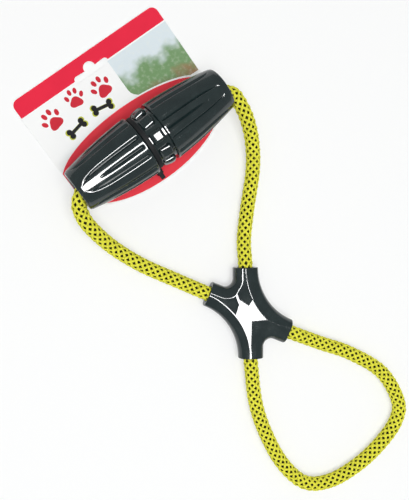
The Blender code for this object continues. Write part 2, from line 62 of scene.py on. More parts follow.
@dataclass(frozen=True)
class ToySizes:
    """The sizes and places that the toy's pieces share, in metres and degrees, as the CAD model has them."""

    rope: float = 0.0127
    rope_bend: float = 0.022
    rope_leave: float = 37.5
    rope_drop: float = 18.0
    rope_lead: float = 0.003
    bore_clearance: float = 0.0005
    gap: float = 0.0003
    barrel_length: float = 0.1428
    barrel_end_wall: float = 0.00278
    barrel_rise: float = 0.0078
    waist_depth: float = 0.0036
    waist_half: float = 0.0095
    card_thickness: float = 0.0006
    tie_thickness: float = 0.0012
    cross_roof: float = 0.00305
    cross_bend: float = 0.0602
    cross_half_web: float = 0.003
    cross_angle: float = 33.8
    tie_width: float = 0.0036
    tie_centre: float = 0.00665
    barrel_x: float = -0.0084
    barrel_y: float = 0.0361
    barrel_turn: float = 36.2
    cross_x: float = 0.0766
    cross_y: float = -0.107
    cross_turn: float = 123.9

    @property
    def bore(self) -> float:
        """The radius of the bores that take the rope."""
        return self.rope / 2 + self.bore_clearance

    @property
    def lip_depth(self) -> float:
        """How far the bell mouth reaches into the barrel."""
        return self.rope_bend * math.sin(math.radians(self.rope_leave))

    @property
    def lip_curve(self) -> float:
        """The radius of the bell mouth's lip."""
        return self.rope_bend - self.bore

    @property
    def mouth(self) -> float:
        """The radius of the barrel's mouth at its end face."""
        return self.bore + self.lip_curve * (1 - math.cos(math.asin(self.lip_depth / self.lip_curve)))

    @property
    def barrel_half(self) -> float:
        """Half of the barrel's length."""
        return self.barrel_length / 2

    @property
    def end_radius(self) -> float:
        """The barrel's outer radius at its ends."""
        return self.mouth + self.barrel_end_wall

    @property
    def mid_radius(self) -> float:
        """The barrel's outer radius at its middle."""
        return self.end_radius + self.barrel_rise

    @property
    def waist_radius(self) -> float:
        """The radius of the groove's floor at the waist."""
        return self.mid_radius - self.waist_depth

    @property
    def card_bottom(self) -> float:
        """The height of the card's underside."""
        return self.tie_thickness + self.gap

    @property
    def card_top(self) -> float:
        """The height of the card's printed face."""
        return self.card_bottom + self.card_thickness

    @property
    def barrel_height(self) -> float:
        """The height of the barrel's axis."""
        return self.card_top + self.gap + self.mid_radius

    @property
    def cross_height(self) -> float:
        """The crossing piece's full height."""
        return self.rope + 2 * self.cross_roof

    @property
    def cross_spread(self) -> float:
        """How far each bore of the crossing piece passes from its middle."""
        return self.rope / 2 + self.cross_half_web

    @property
    def barrel_matrix(self) -> Matrix:
        """The barrel's place, its local X along its bore."""
        spot = Matrix.Translation((self.barrel_x, self.barrel_y, self.barrel_height))
        return spot @ Matrix.Rotation(math.radians(self.barrel_turn), 4, "Z")

    @property
    def cross_matrix(self) -> Matrix:
        """The crossing piece's place, its local X between the two notches."""
        spot = Matrix.Translation((self.cross_x, self.cross_y, self.cross_height / 2))
        return spot @ Matrix.Rotation(math.radians(self.cross_turn), 4, "Z")

    @property
    def card_matrix(self) -> Matrix:
        """The card's place: local X along the barrel, local Y towards the card's top edge, Z at its face."""
        spot = Matrix.Translation((self.barrel_x, self.barrel_y, self.card_top))
        return spot @ Matrix.Rotation(math.radians(self.barrel_turn), 4, "Z")


SIZES = ToySizes()


class Body(Enum):
    """The CAD bodies that the pieces ride on."""

    ROPE = "rope_and_cross"
    BARREL = "barrel"
    CARD = "card"


# Bench work


def clear_selection() -> None:
    """Deselects every object."""
    bpy.ops.object.select_all(action="DESELECT")


def pick(piece: bpy.types.Object) -> bpy.types.Object:
    """Selects one object alone and makes it active.

    Args:
        piece: The object to work on.

    Returns:
        The same object.
    """
    clear_selection()
    piece.select_set(True)
    bpy.context.view_layer.objects.active = piece
    return piece


@contextmanager
def edit_mode(piece: bpy.types.Object) -> Iterator[None]:
    """Opens a mesh in edit mode with all of it selected, and leaves edit mode afterwards.

    Args:
        piece: The mesh object to open.
    """
    pick(piece)
    bpy.ops.object.mode_set(mode="EDIT")
    bpy.ops.mesh.select_all(action="SELECT")
    try:
        yield
    finally:
        bpy.ops.object.mode_set(mode="OBJECT")


def apply_modifier(piece: bpy.types.Object, name: str, kind: str, **settings: object) -> None:
    """Adds one modifier and applies it.

    Args:
        piece: The mesh object.
        name: The modifier's name.
        kind: Blender's word for the modifier.
        settings: The modifier's settings.
    """
    pick(piece)
    modifier = piece.modifiers.new(name, kind)
    for key, value in settings.items():
        setattr(modifier, key, value)
    bpy.ops.object.modifier_apply(modifier=name)


def settle(piece: bpy.types.Object, matrix: Matrix | None = None) -> bpy.types.Object:
    """Moves a piece to its place and leaves that place in its mesh, its origin at the world's.

    Args:
        piece: The object to settle.
        matrix: Where its own space lies, or None where it's already in place.

    Returns:
        The same object.
    """
    bpy.context.view_layer.update()
    piece.data.transform((matrix or Matrix()) @ piece.matrix_world)
    piece.matrix_world = Matrix()
    return piece


def soften(piece: bpy.types.Object, degrees: float = 40.0) -> bpy.types.Object:
    """Shades a piece smooth, except across edges sharper than an angle.

    Args:
        piece: The object to shade.
        degrees: The angle above which an edge stays sharp.

    Returns:
        The same object.
    """
    pick(piece)
    bpy.ops.object.shade_smooth_by_angle(angle=math.radians(degrees))
    return piece


def join(pieces: Sequence[bpy.types.Object], name: str) -> bpy.types.Object:
    """Joins meshes into the first of them.

    Args:
        pieces: The objects to join.
        name: The joined object's name.

    Returns:
        The joined object.
    """
    pick(pieces[0])
    for piece in pieces:
        piece.select_set(True)
    bpy.ops.object.join()
    pieces[0].name = name
    return pieces[0]


def read(items: bpy.types.bpy_prop_collection, key: str, width: int = 0) -> np.ndarray:
    """Reads one value of every item of a mesh.

    Args:
        items: The mesh's points, faces or corners.
        key: The value's name.
        width: How many numbers it has, or 0 for one whole number.

    Returns:
        One row for each item, or one whole number.
    """
    if not width:
        numbers = np.empty(len(items), dtype=np.int32)
        items.foreach_get(key, numbers)
        return numbers
    values = np.empty(width * len(items))
    items.foreach_get(key, values)
    return values.reshape(-1, width)


def select_faces(piece: bpy.types.Object, chosen: Sequence[bool]) -> None:
    """Selects faces of a mesh that is open in edit mode.

    Args:
        piece: The mesh object.
        chosen: For each face, whether it is selected.
    """
    mesh = bmesh.from_edit_mesh(piece.data)
    for face, inside in zip(mesh.faces, chosen):
        face.select_set(inside)
    mesh.select_flush(False)
    bmesh.update_edit_mesh(piece.data)


def add_block(size: Point, place: Point) -> bpy.types.Object:
    """Adds a block with its size and place in its mesh.

    Args:
        size: Its size.
        place: Its middle.

    Returns:
        The new object.
    """
    clear_selection()
    bpy.ops.mesh.primitive_cube_add(size=1, location=place, scale=size)
    made = pick(bpy.context.object)
    bpy.ops.object.transform_apply(location=True, rotation=False, scale=True)
    return made


def placed(points: Outline, x: float, y: float, size: float, turn: float) -> list[Flat]:
    """Sizes, turns and moves a flat shape.

    Args:
        points: Its points at full size 1.
        x: Its place along the sheet.
        y: Its place up the sheet.
        size: Its size.
        turn: Its turn in degrees.

    Returns:
        The points in their place.
    """
    cos, sin = math.cos(math.radians(turn)), math.sin(math.radians(turn))
    return [(x + size * (a * cos - b * sin), y + size * (a * sin + b * cos)) for a, b in points]


def mesh_piece(name: str, points: np.ndarray, faces: Sequence[Sequence[int]]) -> bpy.types.Object:
    """Makes a mesh object from points and faces.

    Args:
        name: The object's name.
        points: The points, one row each.
        faces: The corner numbers of each face.

    Returns:
        The new object.
    """
    mesh = bpy.data.meshes.new(name)
    mesh.from_pydata(points.tolist(), [], faces)
    mesh.update()
    made = bpy.data.objects.new(name, mesh)
    bpy.context.scene.collection.objects.link(made)
    return made


def loft_faces(rings: int, points: int, start: int = 0, around: bool = False) -> list[tuple[int, ...]]:
    """Lists the faces between rings of points, with end caps unless the rings close on themselves.

    Args:
        rings: How many rings there are.
        points: How many points each ring has.
        start: The number of the first ring's first point.
        around: Whether the last ring joins the first.

    Returns:
        The corner numbers of each face.
    """
    faces: list[tuple[int, ...]] = []
    for ring in range(rings if around else rings - 1):
        here, there = start + ring * points, start + (ring + 1) % rings * points
        for index in range(points):
            after = (index + 1) % points
            faces.append((here + index, here + after, there + after, there + index))
    if not around:
        faces.append(tuple(start + index for index in reversed(range(points))))
        faces.append(tuple(start + (rings - 1) * points + index for index in range(points)))
    return faces


def arc(centre: Sequence[float], radius: float, start: float, end: float, steps: int) -> list[Flat]:
    """Lists points on a circle from one angle to another, both included.

    Args:
        centre: The circle's centre in the plane.
        radius: Its radius.
        start: The first angle in radians.
        end: The last angle in radians.
        steps: How many steps lie between them.

    Returns:
        The points in the plane.
    """
    return [
        (centre[0] + radius * math.cos(angle), centre[1] + radius * math.sin(angle))
        for angle in np.linspace(start, end, steps + 1)
    ]


def cut_sheet(
    name: str, outlines: Sequence[Outline], thickness: float, edge: float = 0.0, detail: int = 0
) -> bpy.types.Object:
    """Cuts a flat piece to its outlines, the inner ones as holes, and makes it a mesh.

    Args:
        name: The object's name.
        outlines: The closed outlines in the plane.
        thickness: The sheet's thickness, half of it above the plane.
        edge: The radius of its rounded edges.
        detail: How many extra steps the rounding has.

    Returns:
        The new mesh object.
    """
    curve = bpy.data.curves.new(name, "CURVE")
    curve.dimensions = "2D"
    curve.fill_mode = "BOTH"
    curve.extrude = thickness / 2 - edge
    curve.bevel_depth = edge
    curve.bevel_resolution = detail
    curve.offset = -edge
    for outline in outlines:
        spline = curve.splines.new("POLY")
        spline.points.add(len(outline) - 1)
        for target, point in zip(spline.points, outline):
            target.co = (point[0], point[1], 0, 1)
        spline.use_cyclic_u = True
    made = bpy.data.objects.new(name, curve)
    bpy.context.scene.collection.objects.link(made)
    pick(made)
    bpy.ops.object.convert(target="MESH")
    made = bpy.context.view_layer.objects.active
    with edit_mode(made):
        bpy.ops.mesh.remove_doubles(threshold=WELD_DISTANCE)
        bpy.ops.mesh.normals_make_consistent(inside=False)
    return made


def finish_piece(
    piece: bpy.types.Object, body: Body, finishes: Sequence[bpy.types.Material],
    nodes: Sequence[str] = (),
) -> bpy.types.Object:
    """Dresses a piece and sets it on its body.

    Args:
        piece: The settled object.
        body: The CAD body that it rides on.
        finishes: Its materials, in the order of its faces' numbers.
        nodes: The CAD nodes that it stands for.

    Returns:
        The same object.
    """
    for finish in finishes:
        piece.data.materials.append(finish)
    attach(piece, body.value)
    if nodes:
        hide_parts(*nodes)
    piece.data.calc_loop_triangles()
    LOG.info("%s rides on %s, %d triangles", piece.name, body.value, len(piece.data.loop_triangles))
    return piece


# Finishes


class NodeBench:
    """Lays out the shader nodes of one material."""

    def __init__(self, name: str) -> None:
        """Starts a material with a bare Principled shader.

        Args:
            name: The material's name.
        """
        self.material = bpy.data.materials.new(name)
        self.material.use_nodes = True
        self.tree = self.material.node_tree
        self.shader = self.tree.nodes["Principled BSDF"]

    def node(self, kind: str, **settings: object) -> bpy.types.Node:
        """Adds a node.

        Args:
            kind: The node's type.
            settings: Its settings.

        Returns:
            The new node.
        """
        made = self.tree.nodes.new(kind)
        for key, value in settings.items():
            setattr(made, key, value)
        return made

    def plug(self, value: Socket | float | Sequence[float], socket: Socket) -> None:
        """Links a socket to another, or sets a plain value on it.

        Args:
            value: The source socket or the value.
            socket: The socket that takes it.
        """
        if isinstance(value, bpy.types.NodeSocket):
            self.tree.links.new(value, socket)
        else:
            socket.default_value = value

    def coords(self, kind: str = "Object") -> Socket:
        """Returns texture coordinates of a kind."""
        return self.node("ShaderNodeTexCoord").outputs[kind]

    def maths(self, operation: str, first: Socket | float, second: Socket | float = 0.0) -> Socket:
        """Works out a sum.

        Args:
            operation: Blender's word for it.
            first: The first number.
            second: The second number.

        Returns:
            The result.
        """
        made = self.node("ShaderNodeMath", operation=operation)
        self.plug(first, made.inputs[0])
        self.plug(second, made.inputs[1])
        return made.outputs[0]

    def weigh(self, first: Socket, share: float, second: Socket, other: float) -> Socket:
        """Adds two numbers, each by its weight.

        Args:
            first: The first number.
            share: Its weight.
            second: The second number.
            other: Its weight.

        Returns:
            The sum.
        """
        return self.maths("ADD", self.maths("MULTIPLY", first, share), self.maths("MULTIPLY", second, other))

    def noise(self, vector: Socket, scale: float, detail: float = 3.0, rough: float = 0.5) -> Socket:
        """Makes even noise.

        Args:
            vector: The coordinates.
            scale: Its scale per metre.
            detail: Its detail.
            rough: Its roughness.

        Returns:
            The noise from 0 to 1.
        """
        made = self.node("ShaderNodeTexNoise")
        self.plug(vector, made.inputs["Vector"])
        for key, value in (("Scale", scale), ("Detail", detail), ("Roughness", rough)):
            made.inputs[key].default_value = value
        return made.outputs["Fac"]

    def ramp(
        self, value: Socket, low: float, high: float, to_low: float = 0.0, to_high: float = 1.0
    ) -> Socket:
        """Maps a number's range to another, smoothly and held at both ends.

        Args:
            value: The number.
            low: The start of its range.
            high: The end of its range.
            to_low: What the start becomes.
            to_high: What the end becomes.

        Returns:
            The mapped number.
        """
        made = self.node("ShaderNodeMapRange", interpolation_type="SMOOTHSTEP")
        self.plug(value, made.inputs["Value"])
        for key, number in (("From Min", low), ("From Max", high), ("To Min", to_low), ("To Max", to_high)):
            made.inputs[key].default_value = number
        return made.outputs["Result"]

    def blend(self, share: Socket | float, first: Socket | Colour, second: Socket | Colour) -> Socket:
        """Mixes two colours.

        Args:
            share: How much of the second shows.
            first: The first colour.
            second: The second colour.

        Returns:
            The mixed colour.
        """
        made = self.node("ShaderNodeMix", data_type="RGBA", blend_type="MIX")
        self.plug(share, made.inputs[0])
        for value, socket in ((first, made.inputs[6]), (second, made.inputs[7])):
            self.plug(value if isinstance(value, bpy.types.NodeSocket) else (*value, 1.0), socket)
        return made.outputs[2]

    def bump(self, height: Socket, distance: float, strength: float = 1.0) -> None:
        """Roughens the shader's surface.

        Args:
            height: The height from 0 to 1.
            distance: The height's full size in metres.
            strength: How strongly it shows.
        """
        made = self.node("ShaderNodeBump")
        made.inputs["Distance"].default_value = distance
        made.inputs["Strength"].default_value = strength
        self.plug(height, made.inputs["Height"])
        self.plug(made.outputs[0], self.shader.inputs["Normal"])

    def set(self, **values: object) -> None:
        """Sets the shader's own sockets, their names written with underscores.

        Args:
            values: The socket names and their values or sources.
        """
        for key, value in values.items():
            self.plug(value, self.shader.inputs[key.replace("_", " ")])


@dataclass(frozen=True)
class MouldedRubber:
    """Glossy black rubber as it leaves a polished mould, with faint flow marks and dust in its sheen."""

    name: str = "moulded_black_rubber"
    colour: Colour = (0.0060, 0.0155, 0.0165)
    pale: Colour = (0.0110, 0.0225, 0.0235)
    gloss: float = 0.08

    def make(self) -> bpy.types.Material:
        """Builds the material.

        Returns:
            The material.
        """
        bench = NodeBench(self.name)
        here = bench.coords()
        cloud = bench.noise(here, 90.0, 4.0, 0.6)
        grain = bench.noise(here, 1600.0, 3.0, 0.6)
        wave = bench.noise(here, 130.0, 2.0, 0.4)
        bench.set(
            Base_Color=bench.blend(bench.ramp(cloud, 0.35, 0.7), self.colour, self.pale),
            Roughness=bench.ramp(cloud, 0.3, 0.75, self.gloss, self.gloss + 0.04),
            IOR=1.58,
        )
        bench.bump(bench.weigh(wave, 0.75, grain, 0.02), 0.00025, 0.2)
        return bench.material


@dataclass(frozen=True)
class BraidYarn:
    """One flat strand of yellow filament yarn, its plies shown as fine ridges along it, with painted shade
    darkening the grooves between them.
    """

    name: str = "yellow_braid_yarn"
    colour: Colour = (0.88, 0.86, 0.075)
    # deep is the painted shade colour in the grooves between the plies; random fibre tone also mixes it in
    deep: Colour = (0.50, 0.48, 0.02)
    plies: float = 10.0
    ply_lay: float = 1.5

    def make(self) -> bpy.types.Material:
        """Builds the material; the strand's UV map runs round it and then along it in repeats.

        Returns:
            The material.
        """
        bench = NodeBench(self.name)
        parts = bench.node("ShaderNodeSeparateXYZ")
        bench.plug(bench.coords("UV"), parts.inputs[0])
        round_strand, along = parts.outputs[0], parts.outputs[1]
        lay = bench.weigh(round_strand, self.plies, along, self.ply_lay)
        ridge = bench.maths("ABSOLUTE", bench.maths("SINE", bench.maths("MULTIPLY", lay, math.pi)))
        fibre = bench.noise(bench.coords("Object"), 2600.0, 3.0, 0.65)
        cloud = bench.noise(bench.coords("Object"), 110.0, 3.0, 0.5)
        # painted shade: the yarn turns to its deep colour in the grooves between plies, mixed with random
        # fibre tone
        groove_shade_and_fibre = bench.weigh(ridge, 0.7, fibre, 0.5)
        body = bench.blend(bench.ramp(groove_shade_and_fibre, 0.15, 0.75), self.deep, self.colour)
        faded = tuple(min(1.0, 1.12 * channel + 0.01) for channel in self.colour)
        bench.set(
            Base_Color=bench.blend(bench.ramp(cloud, 0.45, 0.75, 0.0, 0.35), body, faded),
            Roughness=bench.ramp(fibre, 0.3, 0.7, 0.55, 0.7),
            Specular_IOR_Level=0.0,
            Sheen_Weight=0.1,
            Sheen_Roughness=0.5,
        )
        bench.bump(bench.weigh(ridge, 0.8, fibre, 0.3), 0.00012, 0.8)
        return bench.material


@dataclass(frozen=True)
class RopeHeart:
    """The black filament heart that shows between the strands."""

    name: str = "black_rope_heart"
    colour: Colour = (0.013, 0.013, 0.008)
    pale: Colour = (0.032, 0.032, 0.012)

    def make(self) -> bpy.types.Material:
        """Builds the material.

        Returns:
            The material.
        """
        bench = NodeBench(self.name)
        fibre = bench.noise(bench.coords(), 1900.0, 3.0, 0.6)
        bench.set(
            Base_Color=bench.blend(fibre, self.colour, self.pale),
            Roughness=bench.ramp(fibre, 0.3, 0.7, 0.8, 0.95),
            Specular_IOR_Level=0.0,
        )
        bench.bump(fibre, 0.0002, 0.7)
        return bench.material


@dataclass(frozen=True)
class CardStock:
    """Coated board or the ink on it, with a faint paper grain and a satin varnish."""

    name: str
    colour: Colour
    shade: float = 0.96
    varnish: float = 0.6

    def make(self) -> bpy.types.Material:
        """Builds the material.

        Returns:
            The material.
        """
        bench = NodeBench(self.name)
        here = bench.coords()
        fibre = bench.noise(here, 2200.0, 4.0, 0.6)
        cloud = bench.noise(here, 45.0, 3.0, 0.5)
        darker = tuple(self.shade * channel for channel in self.colour)
        bench.set(
            Base_Color=bench.blend(bench.ramp(cloud, 0.35, 0.7), darker, self.colour),
            Roughness=bench.ramp(fibre, 0.3, 0.7, self.varnish, self.varnish + 0.08),
            Specular_IOR_Level=0.0,
        )
        bench.bump(fibre, 0.00003, 0.5)
        return bench.material


@dataclass(frozen=True)
class MeadowPrint:
    """A printed panel of a blurred meadow: a pale sky over soft leaves and warm ground."""

    name: str = "meadow_print"
    sky: Colour = (0.74, 0.82, 0.86)
    leaf: Colour = (0.20, 0.34, 0.16)
    ground: Colour = (0.36, 0.22, 0.12)
    top: float = 0.068
    depth: float = 0.052
    light: Colour = (0.86, 0.88, 0.80)

    def make(self) -> bpy.types.Material:
        """Builds the material on the card's own UV map, which is in metres.

        Returns:
            The material.
        """
        bench = NodeBench(self.name)
        parts = bench.node("ShaderNodeSeparateXYZ")
        here = bench.coords("UV")
        bench.plug(here, parts.inputs[0])
        soft = bench.noise(here, 70.0, 2.0, 0.5)
        fine = bench.noise(here, 300.0, 3.0, 0.5)
        waver = bench.maths("MULTIPLY", bench.maths("SUBTRACT", soft, 0.5), 0.035)
        height = bench.maths("ADD", parts.outputs[1], waver)
        low = self.top - self.depth
        treetops = bench.ramp(height, low + 0.55 * self.depth, low + 0.85 * self.depth)
        turf = bench.ramp(height, low + 0.1 * self.depth, low + 0.4 * self.depth)
        land = bench.blend(turf, self.ground, bench.blend(treetops, self.leaf, self.sky))
        light = bench.ramp(fine, 0.45, 0.8, 0.0, 0.25)
        bench.set(
            Base_Color=bench.blend(light, land, self.light),
            Roughness=bench.ramp(bench.noise(bench.coords(), 2200.0), 0.3, 0.7, 0.6, 0.68),
            Specular_IOR_Level=0.0,
        )
        return bench.material


@dataclass(frozen=True)
class NylonTie:
    """Black nylon with the fine drag lines of its mould."""

    name: str = "black_nylon_tie"
    colour: Colour = (0.016, 0.017, 0.018)

    def make(self) -> bpy.types.Material:
        """Builds the material.

        Returns:
            The material.
        """
        bench = NodeBench(self.name)
        here = bench.coords()
        grain = bench.noise(here, 900.0, 3.0, 0.6)
        pale = tuple(1.6 * channel for channel in self.colour)
        bench.set(
            Base_Color=bench.blend(grain, self.colour, pale),
            Roughness=bench.ramp(grain, 0.3, 0.7, 0.5, 0.62),
            Specular_IOR_Level=0.04,
        )
        bench.bump(grain, 0.00006, 0.4)
        return bench.material


# Rope


@dataclass(frozen=True)
class RopeRoute:
    """The rope's closed centreline, through the same points as the CAD model's tubes."""

    sizes: ToySizes = SIZES
    mouth_steps: int = 24
    cross_steps: int = 48
    curve_steps: int = 24
    left_run: tuple[Point, ...] = (
        (-0.0575, -0.0320, 0.0203), (-0.0387, -0.0495, 0.0115),
        (-0.0141, -0.0651, 0.0074), (0.0149, -0.0784, 0.0069),
    )
    right_run: tuple[Point, ...] = (
        (0.0713, 0.0576, 0.0205), (0.0785, 0.0383, 0.0132), (0.0808, 0.0139, 0.0080),
        (0.0763, -0.0199, 0.0065), (0.0735, -0.0454, 0.0070),
    )
    hand_loop: tuple[Point, ...] = (
        (0.1432, -0.1361, 0.0067), (0.1712, -0.1463, 0.0064), (0.2010, -0.1644, 0.0064),
        (0.2172, -0.1910, 0.0064), (0.2154, -0.2089, 0.0064), (0.2012, -0.2281, 0.0064),
        (0.1796, -0.2464, 0.0064), (0.1537, -0.2592, 0.0064), (0.1297, -0.2592, 0.0064),
        (0.1089, -0.2406, 0.0064), (0.0933, -0.2124, 0.0064), (0.0841, -0.1845, 0.0067),
    )

    def mouth(self, side: int) -> tuple[np.ndarray, np.ndarray, np.ndarray, np.ndarray]:
        """Works out how the rope bends out of one of the barrel's mouths.

        Args:
            side: -1 for the left mouth, 1 for the right.

        Returns:
            The cut, the rope's way there, the bend's points inside the mouth, and its next point outside.
        """
        matrix, sizes = self.sizes.barrel_matrix, self.sizes
        drop, leave = math.radians(sizes.rope_drop), math.radians(sizes.rope_leave)
        along = np.array(matrix.to_3x3() @ Vector((side, 0, 0)))
        out = np.array(matrix.to_3x3() @ Vector((0, -math.cos(drop), -math.sin(drop))))
        start = np.array(matrix.translation) + along * (sizes.barrel_half - sizes.lip_depth)

        def bend(angle: float) -> np.ndarray:
            """Returns the bend's point at an angle."""
            return start + sizes.rope_bend * (along * math.sin(angle) + out * (1 - math.cos(angle)))

        inside = np.array([bend(angle) for angle in np.linspace(0, leave, self.mouth_steps)])
        way = along * math.cos(leave) + out * math.sin(leave)
        return bend(leave), way, inside, bend((leave + math.pi / 2) / 2)

    def arm(self, side_x: int, side_y: int) -> tuple[np.ndarray, np.ndarray]:
        """Finds the middle of one of the crossing piece's end faces and the rope's way out of it.

        Args:
            side_x: The arm's side along the piece's local X.
            side_y: The arm's side along its local Y.

        Returns:
            The point and the way.
        """
        angle, matrix = math.radians(self.sizes.cross_angle), self.sizes.cross_matrix
        bend, spread = self.sizes.cross_bend, self.sizes.cross_spread
        end = (side_x * bend * math.sin(angle), side_y * (spread + bend * (1 - math.cos(angle))), 0)
        way = (side_x * math.cos(angle), side_y * math.sin(angle), 0)
        return np.array(matrix @ Vector(end)), np.array(matrix.to_3x3() @ Vector(way))

    def through_cross(self, side_y: int) -> np.ndarray:
        """Lists the arc through the crossing piece, from its first arm to its second.

        Args:
            side_y: Which of the two bores it follows.

        Returns:
            The points.
        """
        swing = side_y * math.radians(self.sizes.cross_angle)
        bend, spread = self.sizes.cross_bend, self.sizes.cross_spread
        middle = -side_y * math.pi / 2
        plane = arc((0, side_y * (spread + bend)), bend, middle + swing, middle - swing, self.cross_steps)
        return np.array([self.sizes.cross_matrix @ Vector((*point, 0)) for point in plane])

    def smooth(self, fixed: Sequence[Sequence[float]]) -> np.ndarray:
        """Runs a smooth curve through fixed points.

        Args:
            fixed: The points that it passes.

        Returns:
            Close points along it, both ends included.
        """
        points = np.array([np.asarray(point, float) for point in fixed])
        points = np.vstack([2 * points[0] - points[1], points, 2 * points[-1] - points[-2]])
        dense = []
        for a, b, c, d in zip(points, points[1:], points[2:], points[3:]):
            for share in np.linspace(0, 1, self.curve_steps, endpoint=False):
                dense.append(0.5 * (2 * b + (c - a) * share + (2 * a - 5 * b + 4 * c - d) * share**2
                                    + (3 * b - a - 3 * c + d) * share**3))
        return np.array([*dense, points[-2]])

    def free_run(self, start: np.ndarray, way: np.ndarray, chosen: Sequence[Sequence[float]],
                 end: np.ndarray, end_way: np.ndarray) -> np.ndarray:
        """Lays a free run from one cut to another, straight out of both.

        Args:
            start: The first cut.
            way: The rope's way there.
            chosen: The points between.
            end: The last cut.
            end_way: The rope's way there.

        Returns:
            Close points along the run.
        """
        lead = self.sizes.rope_lead
        run = self.smooth([start + way * lead, *chosen, end - end_way * lead])
        return np.vstack([start, run, end])

    def stretches(self) -> dict[str, np.ndarray]:
        """Lists the rope's stretches in their order round the closed loop.

        Returns:
            The points of each stretch, by the name of its CAD node.
        """
        left_cut, left_way, left_inside, left_bend = self.mouth(-1)
        right_cut, right_way, right_inside, right_bend = self.mouth(1)
        left_arm, left_arm_way = self.arm(1, 1)
        bottom_arm, bottom_way = self.arm(-1, 1)
        top_arm, top_way = self.arm(1, -1)
        right_arm, right_arm_way = self.arm(-1, -1)
        left = self.free_run(left_cut, left_way, [left_bend, *self.left_run], left_arm, -left_arm_way)
        right = self.free_run(right_cut, right_way, [right_bend, *self.right_run], top_arm, -top_way)
        return {
            "rope_core": np.vstack([left_inside[::-1], right_inside]),
            "rope_right_run": right,
            "rope_cross_right": self.through_cross(-1),
            "hand_loop": self.free_run(right_arm, right_arm_way, self.hand_loop, bottom_arm, -bottom_way),
            "rope_cross_left": self.through_cross(1)[::-1],
            "rope_left_run": left[::-1],
        }


